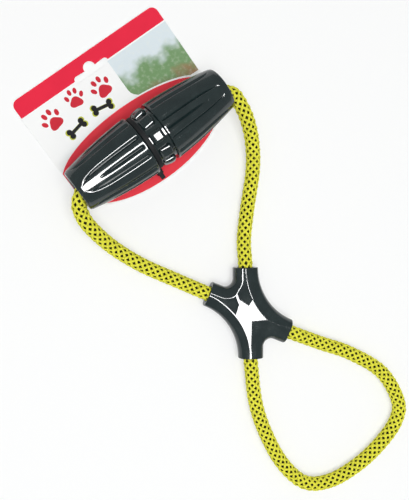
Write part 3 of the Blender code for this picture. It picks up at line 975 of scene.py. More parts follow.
@dataclass
class TugRope:
    """The braided rope: flat strands plaited round a black heart, six each way."""

    route: RopeRoute = field(default_factory=RopeRoute)
    repeat: float = 0.0060
    strands: int = 6
    strand_width: float = 0.00204
    strand_thickness: float = 0.00086
    rise: float = 0.00044
    heart: float = 0.00465
    steps: int = 10
    corners: int = 10
    heart_corners: int = 20
    squareness: float = 0.8
    crown: float = 2.6
    strand_shift: float = 0.37
    hand_shift: float = 0.5
    path_step: int = 4
    sharp: float = 70.0
    free_nodes: tuple[str, ...] = ("rope_right_run", "hand_loop", "rope_left_run")

    def closed_line(self) -> tuple[np.ndarray, dict[str, tuple[int, int]]]:
        """Samples the closed centreline evenly and finds where each stretch begins and ends on it.

        Returns:
            The points, and the first and last sample of each stretch.
        """
        stretches = self.route.stretches()
        joined = [stretches["rope_core"]]
        joined += [points[1:] for name, points in stretches.items() if name != "rope_core"]
        line = np.vstack(joined)
        travelled = np.concatenate([[0], np.cumsum(np.linalg.norm(np.diff(line, axis=0), axis=1))])
        ends = np.cumsum([len(part) for part in joined]) - 1
        count = round(travelled[-1] / self.repeat) * self.steps
        marks = np.linspace(0, travelled[-1], count, endpoint=False)
        samples = np.column_stack([np.interp(marks, travelled, line[:, axis]) for axis in range(3)])
        kernel = np.array([1, 2, 3, 2, 1]) / 9
        padded = np.vstack([samples[-2:], samples, samples[:2]])
        samples = np.column_stack([np.convolve(padded[:, axis], kernel, "valid") for axis in range(3)])
        spans, first = {}, 0
        for name, end in zip(stretches, ends):
            last = round(travelled[end] / travelled[-1] * count)
            spans[name] = (first, last)
            first = last
        return samples, spans

    @staticmethod
    def carried_frames(line: np.ndarray) -> tuple[np.ndarray, np.ndarray]:
        """Carries a frame round the closed line with as little turning as closes it.

        Args:
            line: The closed line's points.

        Returns:
            The two directions across the rope at each point.
        """
        ways = np.roll(line, -1, axis=0) - np.roll(line, 1, axis=0)
        ways /= np.linalg.norm(ways, axis=1)[:, None]
        across = np.zeros_like(line)
        side = np.cross(ways[0], (0, 0, 1.0))
        for index in range(len(line)):
            side = side - ways[index] * side.dot(ways[index])
            side /= np.linalg.norm(side)
            across[index] = side
        last = side - ways[0] * side.dot(ways[0])
        miss = math.atan2(np.cross(across[0], last).dot(ways[0]), across[0].dot(last / np.linalg.norm(last)))
        up = np.cross(ways, across)
        turn = -miss * np.arange(len(line)) / len(line)
        cos, sin = np.cos(turn)[:, None], np.sin(turn)[:, None]
        return across * cos + up * sin, up * cos - across * sin

    def strand_rings(self, line: np.ndarray, across: np.ndarray, up: np.ndarray, marks: np.ndarray,
                     number: int, hand: int) -> np.ndarray:
        """Shapes one strand along a stretch.

        Args:
            line: The stretch's points.
            across: The first direction across the rope at each point.
            up: The second direction across it.
            marks: How many repeats along the rope each point lies.
            number: Which strand of its hand it is.
            hand: 1 for the strands that turn one way, -1 for the others.

        Returns:
            The strand's rings of points.
        """
        middle = self.route.sizes.rope / 2 - self.strand_thickness / 2 - self.rise
        turn = 2 * math.pi * (number + 0.5 - hand * marks) / self.strands
        out = across * np.cos(turn)[:, None] + up * np.sin(turn)[:, None]
        radius = middle + hand * self.rise * np.cos(2 * math.pi * marks)
        centres = line + out * radius[:, None]
        ways = np.gradient(centres, axis=0)
        ways /= np.linalg.norm(ways, axis=1)[:, None]
        wide = np.cross(ways, out)
        wide /= np.linalg.norm(wide, axis=1)[:, None]
        tall = np.cross(wide, ways)
        angles = np.arange(self.corners) / self.corners * 2 * math.pi
        cos, sin = np.cos(angles), np.sin(angles)
        flat = self.strand_width / 2 * np.sign(cos) * np.abs(cos) ** self.squareness
        thick = self.strand_thickness / 2 * np.sign(sin) * np.abs(sin) ** self.squareness
        thick = thick - flat**2 / (self.crown * middle)
        return centres[:, None] + wide[:, None] * flat[None, :, None] + tall[:, None] * thick[None, :, None]

    def build_stretch(self, name: str, line: np.ndarray, frames: tuple[np.ndarray, np.ndarray],
                      span: tuple[int, int]) -> bpy.types.Object:
        """Builds one stretch of rope, all its strands and its heart.

        Args:
            name: The piece's name.
            line: The closed line's points.
            frames: The directions across the rope at each of them.
            span: The stretch's first and last sample.

        Returns:
            The mesh object, its heart's faces numbered 1.
        """
        picks = np.arange(span[0], span[1] + 1)
        wrapped = picks % len(line)
        marks = picks / self.steps
        here = (line[wrapped], frames[0][wrapped], frames[1][wrapped])
        points, faces, maps, kinds = [], [], [], []
        start = 0
        corner = np.arange(self.corners + 1) / self.corners
        quad_maps = np.array([
            ((corner[i], marks[r]), (corner[i + 1], marks[r]),
             (corner[i + 1], marks[r + 1]), (corner[i], marks[r + 1]))
            for r in range(len(picks) - 1) for i in range(self.corners)
        ]).reshape(-1, 2)
        cap_maps = np.zeros((2 * self.corners, 2))
        for hand in (1, -1):
            for number in range(self.strands):
                rings = self.strand_rings(*here, marks, number, hand)
                points.append(rings.reshape(-1, 3))
                made = loft_faces(len(rings), self.corners, start)
                faces += made
                kinds += [0] * len(made)
                maps += [quad_maps + (0, self.strand_shift * number + self.hand_shift * hand), cap_maps]
                start += rings.shape[0] * self.corners
        around = np.arange(self.heart_corners) / self.heart_corners * 2 * math.pi
        cos, sin = np.cos(around)[None, :, None], np.sin(around)[None, :, None]
        ring = here[1][:, None] * cos + here[2][:, None] * sin
        points.append((here[0][:, None] + self.heart * ring).reshape(-1, 3))
        made = loft_faces(len(picks), self.heart_corners, start)
        faces += made
        kinds += [1] * len(made)
        maps.append(np.zeros((sum(len(face) for face in made), 2)))
        piece = mesh_piece(name, np.vstack(points), faces)
        piece.data.polygons.foreach_set("material_index", kinds)
        layer = piece.data.uv_layers.new(name="strand")
        layer.data.foreach_set("uv", np.vstack(maps).astype(np.float32).ravel())
        with edit_mode(piece):
            bpy.ops.mesh.normals_make_consistent(inside=False)
        return soften(piece, self.sharp)

    def build(self) -> list[bpy.types.Object]:
        """Builds and dresses every stretch.

        Returns:
            The stretches.
        """
        yarn, heart = BraidYarn().make(), RopeHeart().make()
        line, spans = self.closed_line()
        frames = self.carried_frames(line)
        made = []
        for node, span in spans.items():
            piece = self.build_stretch(f"{node}_braid", line, frames, span)
            finish_piece(piece, Body.ROPE, [yarn, heart], [node])
            if node in self.free_nodes:
                path = line[np.arange(span[0], span[1] + 1) % len(line)][::self.path_step]
                path = np.vstack([path, line[span[1] % len(line)]])
            made.append(piece)
        return made


# Chew barrel


@dataclass
class ChewBarrel:
    """The moulded barrel: leaves of flutes on both halves, a waist with nubs, and a bell-mouthed bore."""

    sizes: ToySizes = SIZES
    end_round: float = 0.0016
    leaves: int = 5
    leaf_turn: float = -4.5
    pitch: float = 19.2
    half_width: float = 5.0
    depth: float = 0.0018
    rim: float = 0.0013
    cap: float = 0.0024
    back: float = 0.0052
    centre_back: float = 0.0185
    taper: float = 0.026
    centre_taper: float = 0.024
    cap_share: float = 0.58
    tip_share: float = 0.35
    lip_share: float = 0.2
    edge_round: float = 0.0005
    lip_samples: int = 11
    lip_points: int = 10
    floor_points: int = 5
    floor_span: float = 0.3
    land_points: int = 6
    back_points: int = 16
    cap_rings: int = 9
    leaf_rings: int = 46
    waist_rings: int = 6
    edge_rings: int = 5
    end_rings: int = 8
    mouth_rings: int = 12
    waist_start: float = 0.0008
    cap_lead: float = 0.00005
    end_land: float = 0.0006
    inner_round: float = 0.0004
    inner_stop: float = 0.35
    inner_flatness: float = 0.6
    mouth_start_share: float = 0.96
    bore_middle: float = 0.004
    sliver: float = 1e-3
    nub_length: float = 0.0108
    nub_width: float = 0.0098
    nub_round: float = 0.002
    nub_root: float = 0.0015
    nub_centre: float = 0.0016
    nub_top: float = 0.0046
    nub_crown: float = 0.017
    nub_lean: float = 0.06
    nub_wrap: float = 0.35
    nub_segments: int = 6
    nub_cuts: int = 9
    upright: float = 0.999
    sharp: float = 50.0

    def envelope(self, along: float) -> float:
        """Returns the barrel's outer radius between its flutes."""
        curve = (self.sizes.barrel_half**2 + self.sizes.barrel_rise**2) / (2 * self.sizes.barrel_rise)
        return self.sizes.mid_radius - curve + math.sqrt(curve**2 - along**2)

    def section_shape(self, across: np.ndarray) -> np.ndarray:
        """Works out the flute's depth across it: flat walls that meet in a sharp floor, with rounded lips.

        Args:
            across: Places across the flute, 1 at its lips.

        Returns:
            The depth as a share of the flute's own.
        """
        offsets = np.linspace(-self.lip_share, self.lip_share, self.lip_samples)
        return np.maximum(0, 1 - np.abs(across)[:, None] - offsets[None]).mean(axis=1)

    def shares(self, along: float, end: float, taper: float) -> tuple[float, float, float]:
        """Works out a flute's narrowing, width and depth at a place along the barrel.

        Args:
            along: The place.
            end: Where the flute ends.
            taper: How long its taper is.

        Returns:
            The three shares of its middle.
        """
        start = self.sizes.waist_half + self.rim
        out = min(1.0, max(0.0, (along - end + taper) / taper))
        back = min(1.0, max(0.0, (along - start) / self.cap))
        narrow = self.tip_share + (1 - self.tip_share) * math.sqrt(1 - out**3)
        cap = math.sqrt(1 - (1 - back) ** 2)
        return narrow, self.cap_share + (1 - self.cap_share) * cap, (1 - out**3) * cap

    def section(self, along: float, top: float) -> np.ndarray:
        """Draws one ring round the barrel, cut by the flutes of its leaves.

        Args:
            along: The ring's place.
            top: Its radius between the flutes.

        Returns:
            The ring's angles and radii.
        """
        lip, floor = 1 + self.lip_share, self.floor_span
        wall = lip / 2 - floor / 2
        across = np.concatenate([
            np.linspace(-lip, -wall, self.lip_points), np.linspace(-floor, floor, self.floor_points),
            np.linspace(wall, lip, self.lip_points)])
        shape = self.section_shape(across)
        angles, radii = [], []
        pitch, width = math.radians(self.pitch), math.radians(self.half_width)
        ends = (self.sizes.barrel_half - self.back, self.sizes.barrel_half - self.centre_back)
        for side in (-1, 0, 1):
            end, taper = (ends[0], self.taper) if side else (ends[1], self.centre_taper)
            narrow, cap, deep = self.shares(along, end, taper)
            angles.append((side * pitch + across * width * cap) * narrow)
            radii.append(top - shape * deep * self.depth)
        leaf = 2 * math.pi / self.leaves
        turns, tops = [angles[0]], [radii[0]]
        for index in (1, 2):
            land = np.linspace(angles[index - 1][-1], angles[index][0], self.land_points)[1:-1]
            turns += [land, angles[index]]
            tops += [np.full(len(land), top), radii[index]]
        land = np.linspace(angles[2][-1], angles[0][0] + leaf, self.back_points)[1:-1]
        turn = np.concatenate([*turns, land])
        radius = np.concatenate([*tops, np.full(len(land), top)])
        middles = math.radians(self.leaf_turn) + leaf * np.arange(self.leaves)
        return np.column_stack([(middles[:, None] + turn[None]).ravel(), np.tile(radius, self.leaves)])

    def half_rings(self) -> list[np.ndarray]:
        """Shapes the right half from the waist's middle to its mouth, and in to the bore.

        Returns:
            Its rings of points.
        """
        sizes, edge = self.sizes, self.edge_round
        half, rim = sizes.waist_half, self.envelope(sizes.waist_half)
        start, length = half + self.rim, sizes.barrel_half
        rings = []

        def add(along: float, angles: np.ndarray, radii: np.ndarray | float) -> None:
            """Adds one ring at a place along the barrel."""
            rings.append(np.column_stack([
                np.full(len(angles), along), radii * np.sin(angles), radii * np.cos(angles)]))

        def ring(along: float, radius: float) -> None:
            """Adds one plain ring in the columns of the flutes."""
            add(along, self.section(along, radius)[:, 0], radius)

        for along in np.linspace(self.waist_start, half - 3 * edge, self.waist_rings):
            ring(along, sizes.waist_radius)
        for angle in np.linspace(0, math.pi / 2, self.edge_rings)[1:]:
            ring(half - 2 * edge + 2 * edge * math.sin(angle) - edge * self.sliver,
                 sizes.waist_radius + 2 * edge * (1 - math.cos(angle)))
        for angle in np.linspace(0, math.pi / 2, self.edge_rings):
            along = half + edge * (1 - math.cos(angle))
            ring(along, rim - edge + edge * math.sin(angle) - (rim - self.envelope(along)))
        stations = list(np.linspace(start, start + self.cap, self.cap_rings)[:-1] - self.cap_lead)
        last = length - self.end_round - self.end_land
        stations += list(np.linspace(start + self.cap, last, self.leaf_rings))
        for along in stations:
            table = self.section(along, self.envelope(along))
            add(along, table[:, 0], table[:, 1])
        end = self.envelope(length)
        for angle in np.linspace(0, math.pi / 2, self.end_rings):
            ring(length - self.end_round * (1 - math.sin(angle)),
                 end - self.end_round * (1 - math.cos(angle)))
        for angle in np.linspace(math.pi / 2, self.inner_stop, self.edge_rings):
            ring(length - self.inner_round * (1 - math.sin(angle)),
                 sizes.mouth + self.inner_round * (1 - math.cos(angle)) * self.inner_flatness)
        sweep = math.asin(sizes.lip_depth / sizes.lip_curve)
        for angle in np.linspace(sweep * self.mouth_start_share, 0, self.mouth_rings):
            ring(length - sizes.lip_depth + sizes.lip_curve * math.sin(angle),
                 sizes.bore + sizes.lip_curve * (1 - math.cos(angle)))
        ring(self.bore_middle, sizes.bore)
        return rings

    def skin(self) -> bpy.types.Object:
        """Lofts the barrel's skin, outside and bore, as one closed surface.

        Returns:
            The skin in the barrel's own space.
        """
        right = self.half_rings()
        left = [ring * (-1, 1, 1) for ring in right]
        rings = np.array(left[::-1] + right)
        rings = np.roll(rings, -len(right), axis=0)
        faces = loft_faces(len(rings), rings.shape[1], around=True)
        piece = mesh_piece("chew_barrel_rubber", rings.reshape(-1, 3), faces)
        with edit_mode(piece):
            bpy.ops.mesh.normals_make_consistent(inside=False)
        return piece

    def nub(self) -> bpy.types.Object:
        """Models one nub as a block with soft edges and a slightly crowned top.

        Returns:
            The nub at the top of the waist.
        """
        floor = self.sizes.waist_radius - self.nub_root
        top = self.envelope(self.nub_centre + self.nub_length / 2)
        nub = add_block(
            (self.nub_length, self.nub_width, top - floor), (self.nub_centre, 0, (top + floor) / 2))
        with edit_mode(nub):
            bpy.ops.mesh.bevel(
                offset=self.nub_round, segments=self.nub_segments, profile=0.5, affect="EDGES")
            mesh = bmesh.from_edit_mesh(nub.data)
            select_faces(nub, [face.normal.z > self.upright for face in mesh.faces])
            bpy.ops.mesh.subdivide(number_cuts=self.nub_cuts)
        for vert in nub.data.vertices:
            high = max(0.0, (vert.co.z - floor) / (top - floor))
            lean = 1 + self.nub_lean * (1 - high)
            vert.co.x = self.nub_centre + (vert.co.x - self.nub_centre) * lean
            vert.co.y *= lean
            crown = (vert.co.x - self.nub_top) ** 2 / (2 * self.nub_crown)
            vert.co.z -= (self.nub_wrap * vert.co.y**2 / (2 * top) + crown) * high
        return nub

    def build(self) -> bpy.types.Object:
        """Builds the whole barrel and dresses it.

        Returns:
            The dressed barrel.
        """
        nub = self.nub()
        nubs = []
        count = 2 * self.leaves
        for index in range(count):
            copy = nub.copy()
            copy.data = nub.data.copy()
            bpy.context.scene.collection.objects.link(copy)
            turn = 2 * math.pi * index / count - math.radians(self.leaf_turn)
            copy.data.transform(Matrix.Rotation(turn, 4, "X"))
            nubs.append(copy)
        bpy.data.objects.remove(nub)
        piece = join([self.skin(), *nubs], "chew_barrel_rubber")
        settle(piece, self.sizes.barrel_matrix)
        soften(piece, self.sharp)
        return finish_piece(piece, Body.BARREL, [MouldedRubber().make()], ["chew_barrel"])


# Crossing piece


@dataclass(frozen=True)
class Crease:
    """A straight edge in a plan: a place on it, and the way straight across it."""

    x: float
    y: float
    way: Flat

    def beyond(self, x: np.ndarray, y: np.ndarray) -> np.ndarray:
        """Returns how far beyond the edge places lie."""
        return self.way[0] * (x - self.x) + self.way[1] * (y - self.y)


@dataclass
class CrossingPiece:
    """The four-armed moulding that holds two stretches of rope side by side."""

    sizes: ToySizes = SIZES
    wall: float = 0.0043
    side_flat: float = 0.0012
    notch_round: float = 0.0065
    edge: float = 0.0007
    voxel: float = 0.0006
    fine_margin: float = 0.0012
    left_crest: float = 0.0087
    left_crest_rise: float = 0.0007
    right_crest: float = 0.0121
    notch_crest: Flat = (0.0064, 0.0093)
    left_side: float = 0.36
    right_side: float = 0.17
    notch_side: Flat = (0.42, 0.30)
    tray_slope: float = 0.12
    tray_wall: float = 0.44
    left_tray_wall: float = 0.24
    tray_end_round: float = 0.03
    low_slope: float = 0.1
    lean: float = 0.02
    crest_blend: float = 0.00022
    tray_blend: float = 0.00005
    crease_cosine: float = 0.985
    left_rise_run: Flat = (0.012, 0.018)
    notch_turn: Flat = (-0.0040, 0.0085)
    lid_blend: float = 0.0006
    tiny: float = 1e-12
    run_on: float = 0.014
    end_block: Point = (0.03, 0.05, 0.05)
    hollow_steps: int = 40
    notch_steps: int = 16
    side_detail: int = 8
    ring_segments: tuple[int, int] = (160, 32)
    fine_cuts: int = 2
    level_limit: float = 0.6
    pulls: int = 7
    pull_limit: float = 0.0006
    least_slope: float = 0.2
    probe: float = 2e-6
    top_side_of_ridge: Crease = Crease(0.0158, 0.0012, (-0.232, -0.973))
    left_side_of_ridge: Crease = Crease(0.0162, 0.0028, (0.232, 0.973))
    left_tray_end: Crease = Crease(0.0097, 0.0066, (0.785, 0.619))
    top_tray_end: Crease = Crease(0.0093, 0.0008, (0.397, -0.918))
    top_tray_side: Crease = Crease(0.0067, -0.0035, (0.926, 0.377))
    low_corner: tuple[Crease, Crease] = (
        Crease(-0.0057, 0.0028, (-0.565, -0.826)), Crease(-0.0057, 0.0028, (-0.859, 0.512)))

    @property
    def angle(self) -> float:
        """The arms' angle from the local X axis, in radians."""
        return math.radians(self.sizes.cross_angle)

    @property
    def bend(self) -> float:
        """The radius of the bores' curve."""
        return self.sizes.cross_bend

    @property
    def spread(self) -> float:
        """How far each bore passes from the middle."""
        return self.sizes.cross_spread

    @property
    def tube(self) -> float:
        """The radius of each arm."""
        return self.sizes.rope / 2 + self.wall

    @property
    def side_round(self) -> float:
        """The radius of the rounding along the sides."""
        return (self.sizes.cross_height - self.side_flat) / 2

    @property
    def reach(self) -> float:
        """How far along X an arm's end face lies."""
        return self.bend * math.sin(self.angle)

    @property
    def side(self) -> float:
        """How far along Y an arm's end face lies."""
        return self.spread + self.bend * (1 - math.cos(self.angle))

    def notch_centre(self) -> Flat:
        """Finds the notch's tip before rounding and the centre of its rounding, along X.

        Returns:
            Both places.
        """
        inner_x = self.reach + self.tube * math.sin(self.angle)
        inner_y = self.side - self.tube * math.cos(self.angle)
        tip = inner_x - inner_y / math.tan(self.angle)
        return tip, tip + self.notch_round / math.sin(self.angle)

    def edges(self, points: np.ndarray) -> tuple[np.ndarray, np.ndarray, np.ndarray]:
        """Measures how far inside the outline's edges points lie, the arm ends left out.

        Args:
            points: Points in the piece's own space.

        Returns:
            The distances inside the left hollow, the right hollow and the nearer notch.
        """
        x, y = points[:, 0], points[:, 1]
        left = np.hypot(x, y - self.spread - self.bend) - (self.bend - self.tube)
        right = np.hypot(x, y + self.spread + self.bend) - (self.bend - self.tube)
        x, y = np.abs(x), np.abs(y)
        tip, centre = self.notch_centre()
        edge = (tip - x) * math.sin(self.angle) + y * math.cos(self.angle)
        beyond = (x - centre) * math.cos(self.angle) + y * math.sin(self.angle)
        rounded = np.hypot(x - centre, y) - self.notch_round
        return left, right, np.where(beyond > 0, edge, rounded)

    def crests(self, points: np.ndarray) -> tuple[np.ndarray, np.ndarray, np.ndarray, np.ndarray]:
        """Measures how far inside the top's crests points lie.

        Args:
            points: Points in the piece's own space.

        Returns:
            The distances inside the left, right and notch crests, and how steeply the notch's side falls.
        """
        x, y = points[:, 0], points[:, 1]
        left, right, notch = self.edges(points)
        out = self.ease((x - self.left_rise_run[0]) / self.left_rise_run[1])
        turn = self.ease((y - self.notch_turn[0]) / self.notch_turn[1])
        left = left - self.left_crest - self.left_crest_rise * out
        notch = notch - self.notch_crest[0] * (1 - turn) - self.notch_crest[1] * turn
        side = self.notch_side[0] * (1 - turn) + self.notch_side[1] * turn
        return left, right - self.right_crest, notch, side

    @staticmethod
    def ease(share: np.ndarray) -> np.ndarray:
        """Returns a smooth step from 0 to 1."""
        share = np.clip(share, 0, 1)
        return share**2 * (3 - 2 * share)

    def soft_start(self, beyond: np.ndarray) -> np.ndarray:
        """Works out a slope that starts with a long curve.

        Args:
            beyond: How far beyond its start places lie.

        Returns:
            The drops.
        """
        size, bend = np.abs(beyond), self.tray_slope * self.tray_end_round
        drop = np.where(size < bend, size**2 / (2 * self.tray_end_round), self.tray_slope * (size - bend / 2))
        return np.sign(beyond) * drop

    def drop(self, points: np.ndarray) -> np.ndarray:
        """Measures how far the top's sloped sides, trays and low corner lie below its highest level.

        Args:
            points: Points in the piece's own space.

        Returns:
            The drops.
        """
        x, y = points[:, 0], points[:, 1]
        left, right, notch, notch_side = self.crests(points)
        top_tray = np.minimum.reduce([
            self.tray_slope * notch, self.tray_wall * right,
            self.soft_start(self.top_tray_end.beyond(x, y)),
            self.tray_wall * self.top_tray_side.beyond(x, y),
            self.tray_wall * self.top_side_of_ridge.beyond(x, y)])
        left_tray = np.minimum.reduce([
            self.tray_slope * left, self.left_tray_wall * notch,
            self.tray_wall * self.left_tray_end.beyond(x, y),
            self.tray_wall * self.left_side_of_ridge.beyond(x, y)])
        low = self.low_slope * np.minimum(*(crease.beyond(x, y) for crease in self.low_corner))
        total = np.zeros(len(points))
        for part in (top_tray, left_tray, low):
            total = self.smooth_max(total, part, self.tray_blend)
        for part in (-self.left_side * left, -self.right_side * right, -notch_side * notch):
            total = self.smooth_max(total, part, self.crest_blend)
        return total + self.lean * np.maximum(x + self.reach, 0)

    def distance(self, points: np.ndarray) -> np.ndarray:
        """Measures how far outside the finished moulding points lie.

        Args:
            points: Points in the piece's own space.

        Returns:
            The distances, negative inside.
        """
        radius = self.side_round
        left, right, notch = self.edges(points)
        share = 2 * self.edge
        hollows = np.exp(-np.minimum(left, right) / share)
        depth = -share * np.log(hollows + np.exp(-notch / share) + self.tiny)
        across = radius - depth
        tall = np.abs(points[:, 2]) - (self.sizes.cross_height / 2 - radius)
        outside = np.hypot(np.maximum(across, 0), np.maximum(tall, 0))
        body = outside + np.minimum(np.maximum(across, tall), 0) - radius
        lid = np.abs(points[:, 2]) - self.sizes.cross_height / 2 + self.drop(points)
        x, y = np.abs(points[:, 0]), np.abs(points[:, 1])
        end = (x - self.reach) * math.cos(self.angle) + (y - self.side) * math.sin(self.angle)
        ring = np.hypot(x, y - self.spread - self.bend) - self.bend
        bore = self.sizes.bore - np.hypot(ring, points[:, 2])
        body = self.smooth_max(body, lid, self.lid_blend)
        return self.smooth_max(self.smooth_max(body, end, self.edge), bore, self.edge)

    @staticmethod
    def smooth_max(first: np.ndarray, second: np.ndarray, blend: float) -> np.ndarray:
        """Takes the larger of two distances, with the corner between them rounded.

        Args:
            first: One distance.
            second: The other.
            blend: How far apart they are where the rounding starts.

        Returns:
            The rounded larger one.
        """
        share = np.maximum(blend - np.abs(first - second), 0) / blend
        return np.maximum(first, second) + share**2 * blend / 4

    def outline(self) -> list[Flat]:
        """Draws the piece's plan, its arms run on past their ends for the end cuts.

        Returns:
            The points.
        """
        heading = np.array([math.cos(self.angle), math.sin(self.angle)])
        outward = np.array([-heading[1], heading[0]])
        end = np.array([self.reach, self.side])
        run_on = heading * self.run_on
        inner = end - outward * self.tube
        _, centre = self.notch_centre()
        swing = math.pi / 2 + self.angle
        half = arc((0, self.spread + self.bend), self.bend - self.tube,
                   -math.pi / 2 - self.angle, -math.pi / 2 + self.angle, self.hollow_steps)
        half += [tuple(end + outward * self.tube + run_on), tuple(inner + run_on)]
        half += arc((centre, 0), self.notch_round, swing, 2 * math.pi - swing, self.notch_steps)
        half += [(inner[0] + run_on[0], -inner[1] - run_on[1]),
                 (end[0] + outward[0] * self.tube + run_on[0], -end[1] - outward[1] * self.tube - run_on[1])]
        return half + [(-x, -y) for x, y in half]

    @staticmethod
    def cut_away(piece: bpy.types.Object, shape: bpy.types.Object) -> None:
        """Cuts a shape out of the piece and removes the shape.

        Args:
            piece: The piece to cut.
            shape: The object to cut with.
        """
        apply_modifier(piece, "cut", "BOOLEAN", operation="DIFFERENCE", solver="EXACT", object=shape)
        bpy.data.objects.remove(shape)

    def rough(self) -> bpy.types.Object:
        """Roughs the piece out: the plan with round edges, its arms cut off square and its two bores cut.

        Returns:
            The rough piece in its own space.
        """
        height, half = self.sizes.cross_height, self.end_block[0] / 2
        piece = cut_sheet(
            "cross_piece_rubber", [self.outline()], height, self.side_round, self.side_detail)
        for side_x in (1, -1):
            for side_y in (1, -1):
                heading = math.atan2(side_y * math.sin(self.angle), side_x * math.cos(self.angle))
                clear_selection()
                bpy.ops.mesh.primitive_cube_add(
                    size=1, rotation=(0, 0, heading), scale=self.end_block,
                    location=(side_x * self.reach + half * math.cos(heading),
                              side_y * self.side + half * math.sin(heading), 0))
                self.cut_away(piece, bpy.context.object)
        for side_y in (1, -1):
            clear_selection()
            bpy.ops.mesh.primitive_torus_add(
                major_segments=self.ring_segments[0], minor_segments=self.ring_segments[1],
                major_radius=self.bend, minor_radius=self.sizes.bore,
                location=(0, side_y * (self.spread + self.bend), 0))
            self.cut_away(piece, bpy.context.object)
        return piece

    def refine(self, piece: bpy.types.Object) -> None:
        """Remeshes the rough piece evenly and draws its skin onto the finished form.

        Args:
            piece: The rough piece in its own space.
        """
        apply_modifier(piece, "even", "REMESH", mode="VOXEL", voxel_size=self.voxel, adaptivity=0.0)
        centres = read(piece.data.polygons, "center", 3)
        ups = read(piece.data.polygons, "normal", 3)
        inner = np.minimum.reduce(self.crests(centres)[:3]) > -self.fine_margin
        chosen = inner & (centres[:, 2] > 0) & (ups[:, 2] > self.level_limit)
        with edit_mode(piece):
            select_faces(piece, chosen.tolist())
            bpy.ops.mesh.subdivide(number_cuts=self.fine_cuts)
        points = read(piece.data.vertices, "co", 3)
        for _ in range(self.pulls):
            slope = self.slope(points)
            size = np.maximum((slope**2).sum(axis=1), self.least_slope)
            pull = np.clip(self.distance(points), -self.pull_limit, self.pull_limit)
            points = points - pull[:, None] * slope / size[:, None]
        piece.data.vertices.foreach_set("co", points.ravel())
        piece.data.update()

    def slope(self, points: np.ndarray) -> np.ndarray:
        """Measures which way the distance grows at points, and how fast.

        Args:
            points: Points in the piece's own space.

        Returns:
            One row for each point.
        """
        steps, both = self.probe * np.eye(3), 2 * self.probe
        return np.column_stack([
            (self.distance(points + step) - self.distance(points - step)) / both for step in steps])

    def normals_at(self, points: np.ndarray) -> np.ndarray:
        """Returns the finished form's normals at points."""
        normals = self.slope(points)
        return normals / np.linalg.norm(normals, axis=1)[:, None]

    def true_normals(self, piece: bpy.types.Object) -> None:
        """Gives the piece's corners the finished form's own normals, kept apart at the trays' sharp creases.

        Args:
            piece: The refined piece in its own space.
        """
        mesh = piece.data
        totals = read(mesh.polygons, "loop_total")
        centres = np.repeat(read(mesh.polygons, "center", 3), totals, axis=0)
        shared = self.normals_at(read(mesh.vertices, "co", 3))[read(mesh.loops, "vertex_index")]
        near = self.normals_at(centres)
        face_numbers = np.repeat(np.arange(len(totals)), totals)
        creased = np.bincount(face_numbers, (shared * near).sum(axis=1) < self.crease_cosine) > 0
        flat = creased[face_numbers]
        shared[flat] = near[flat]
        mesh.normals_split_custom_set(shared.tolist())

    def build(self) -> bpy.types.Object:
        """Builds the crossing piece and dresses it.

        Returns:
            The dressed piece.
        """
        piece = self.rough()
        self.refine(piece)
        pick(piece)
        bpy.ops.object.shade_smooth()
        self.true_normals(piece)
        settle(piece, self.sizes.cross_matrix)
        rubber = MouldedRubber("crossing_black_rubber").make()
        return finish_piece(piece, Body.ROPE, [rubber], ["cross_piece"])


# Header card


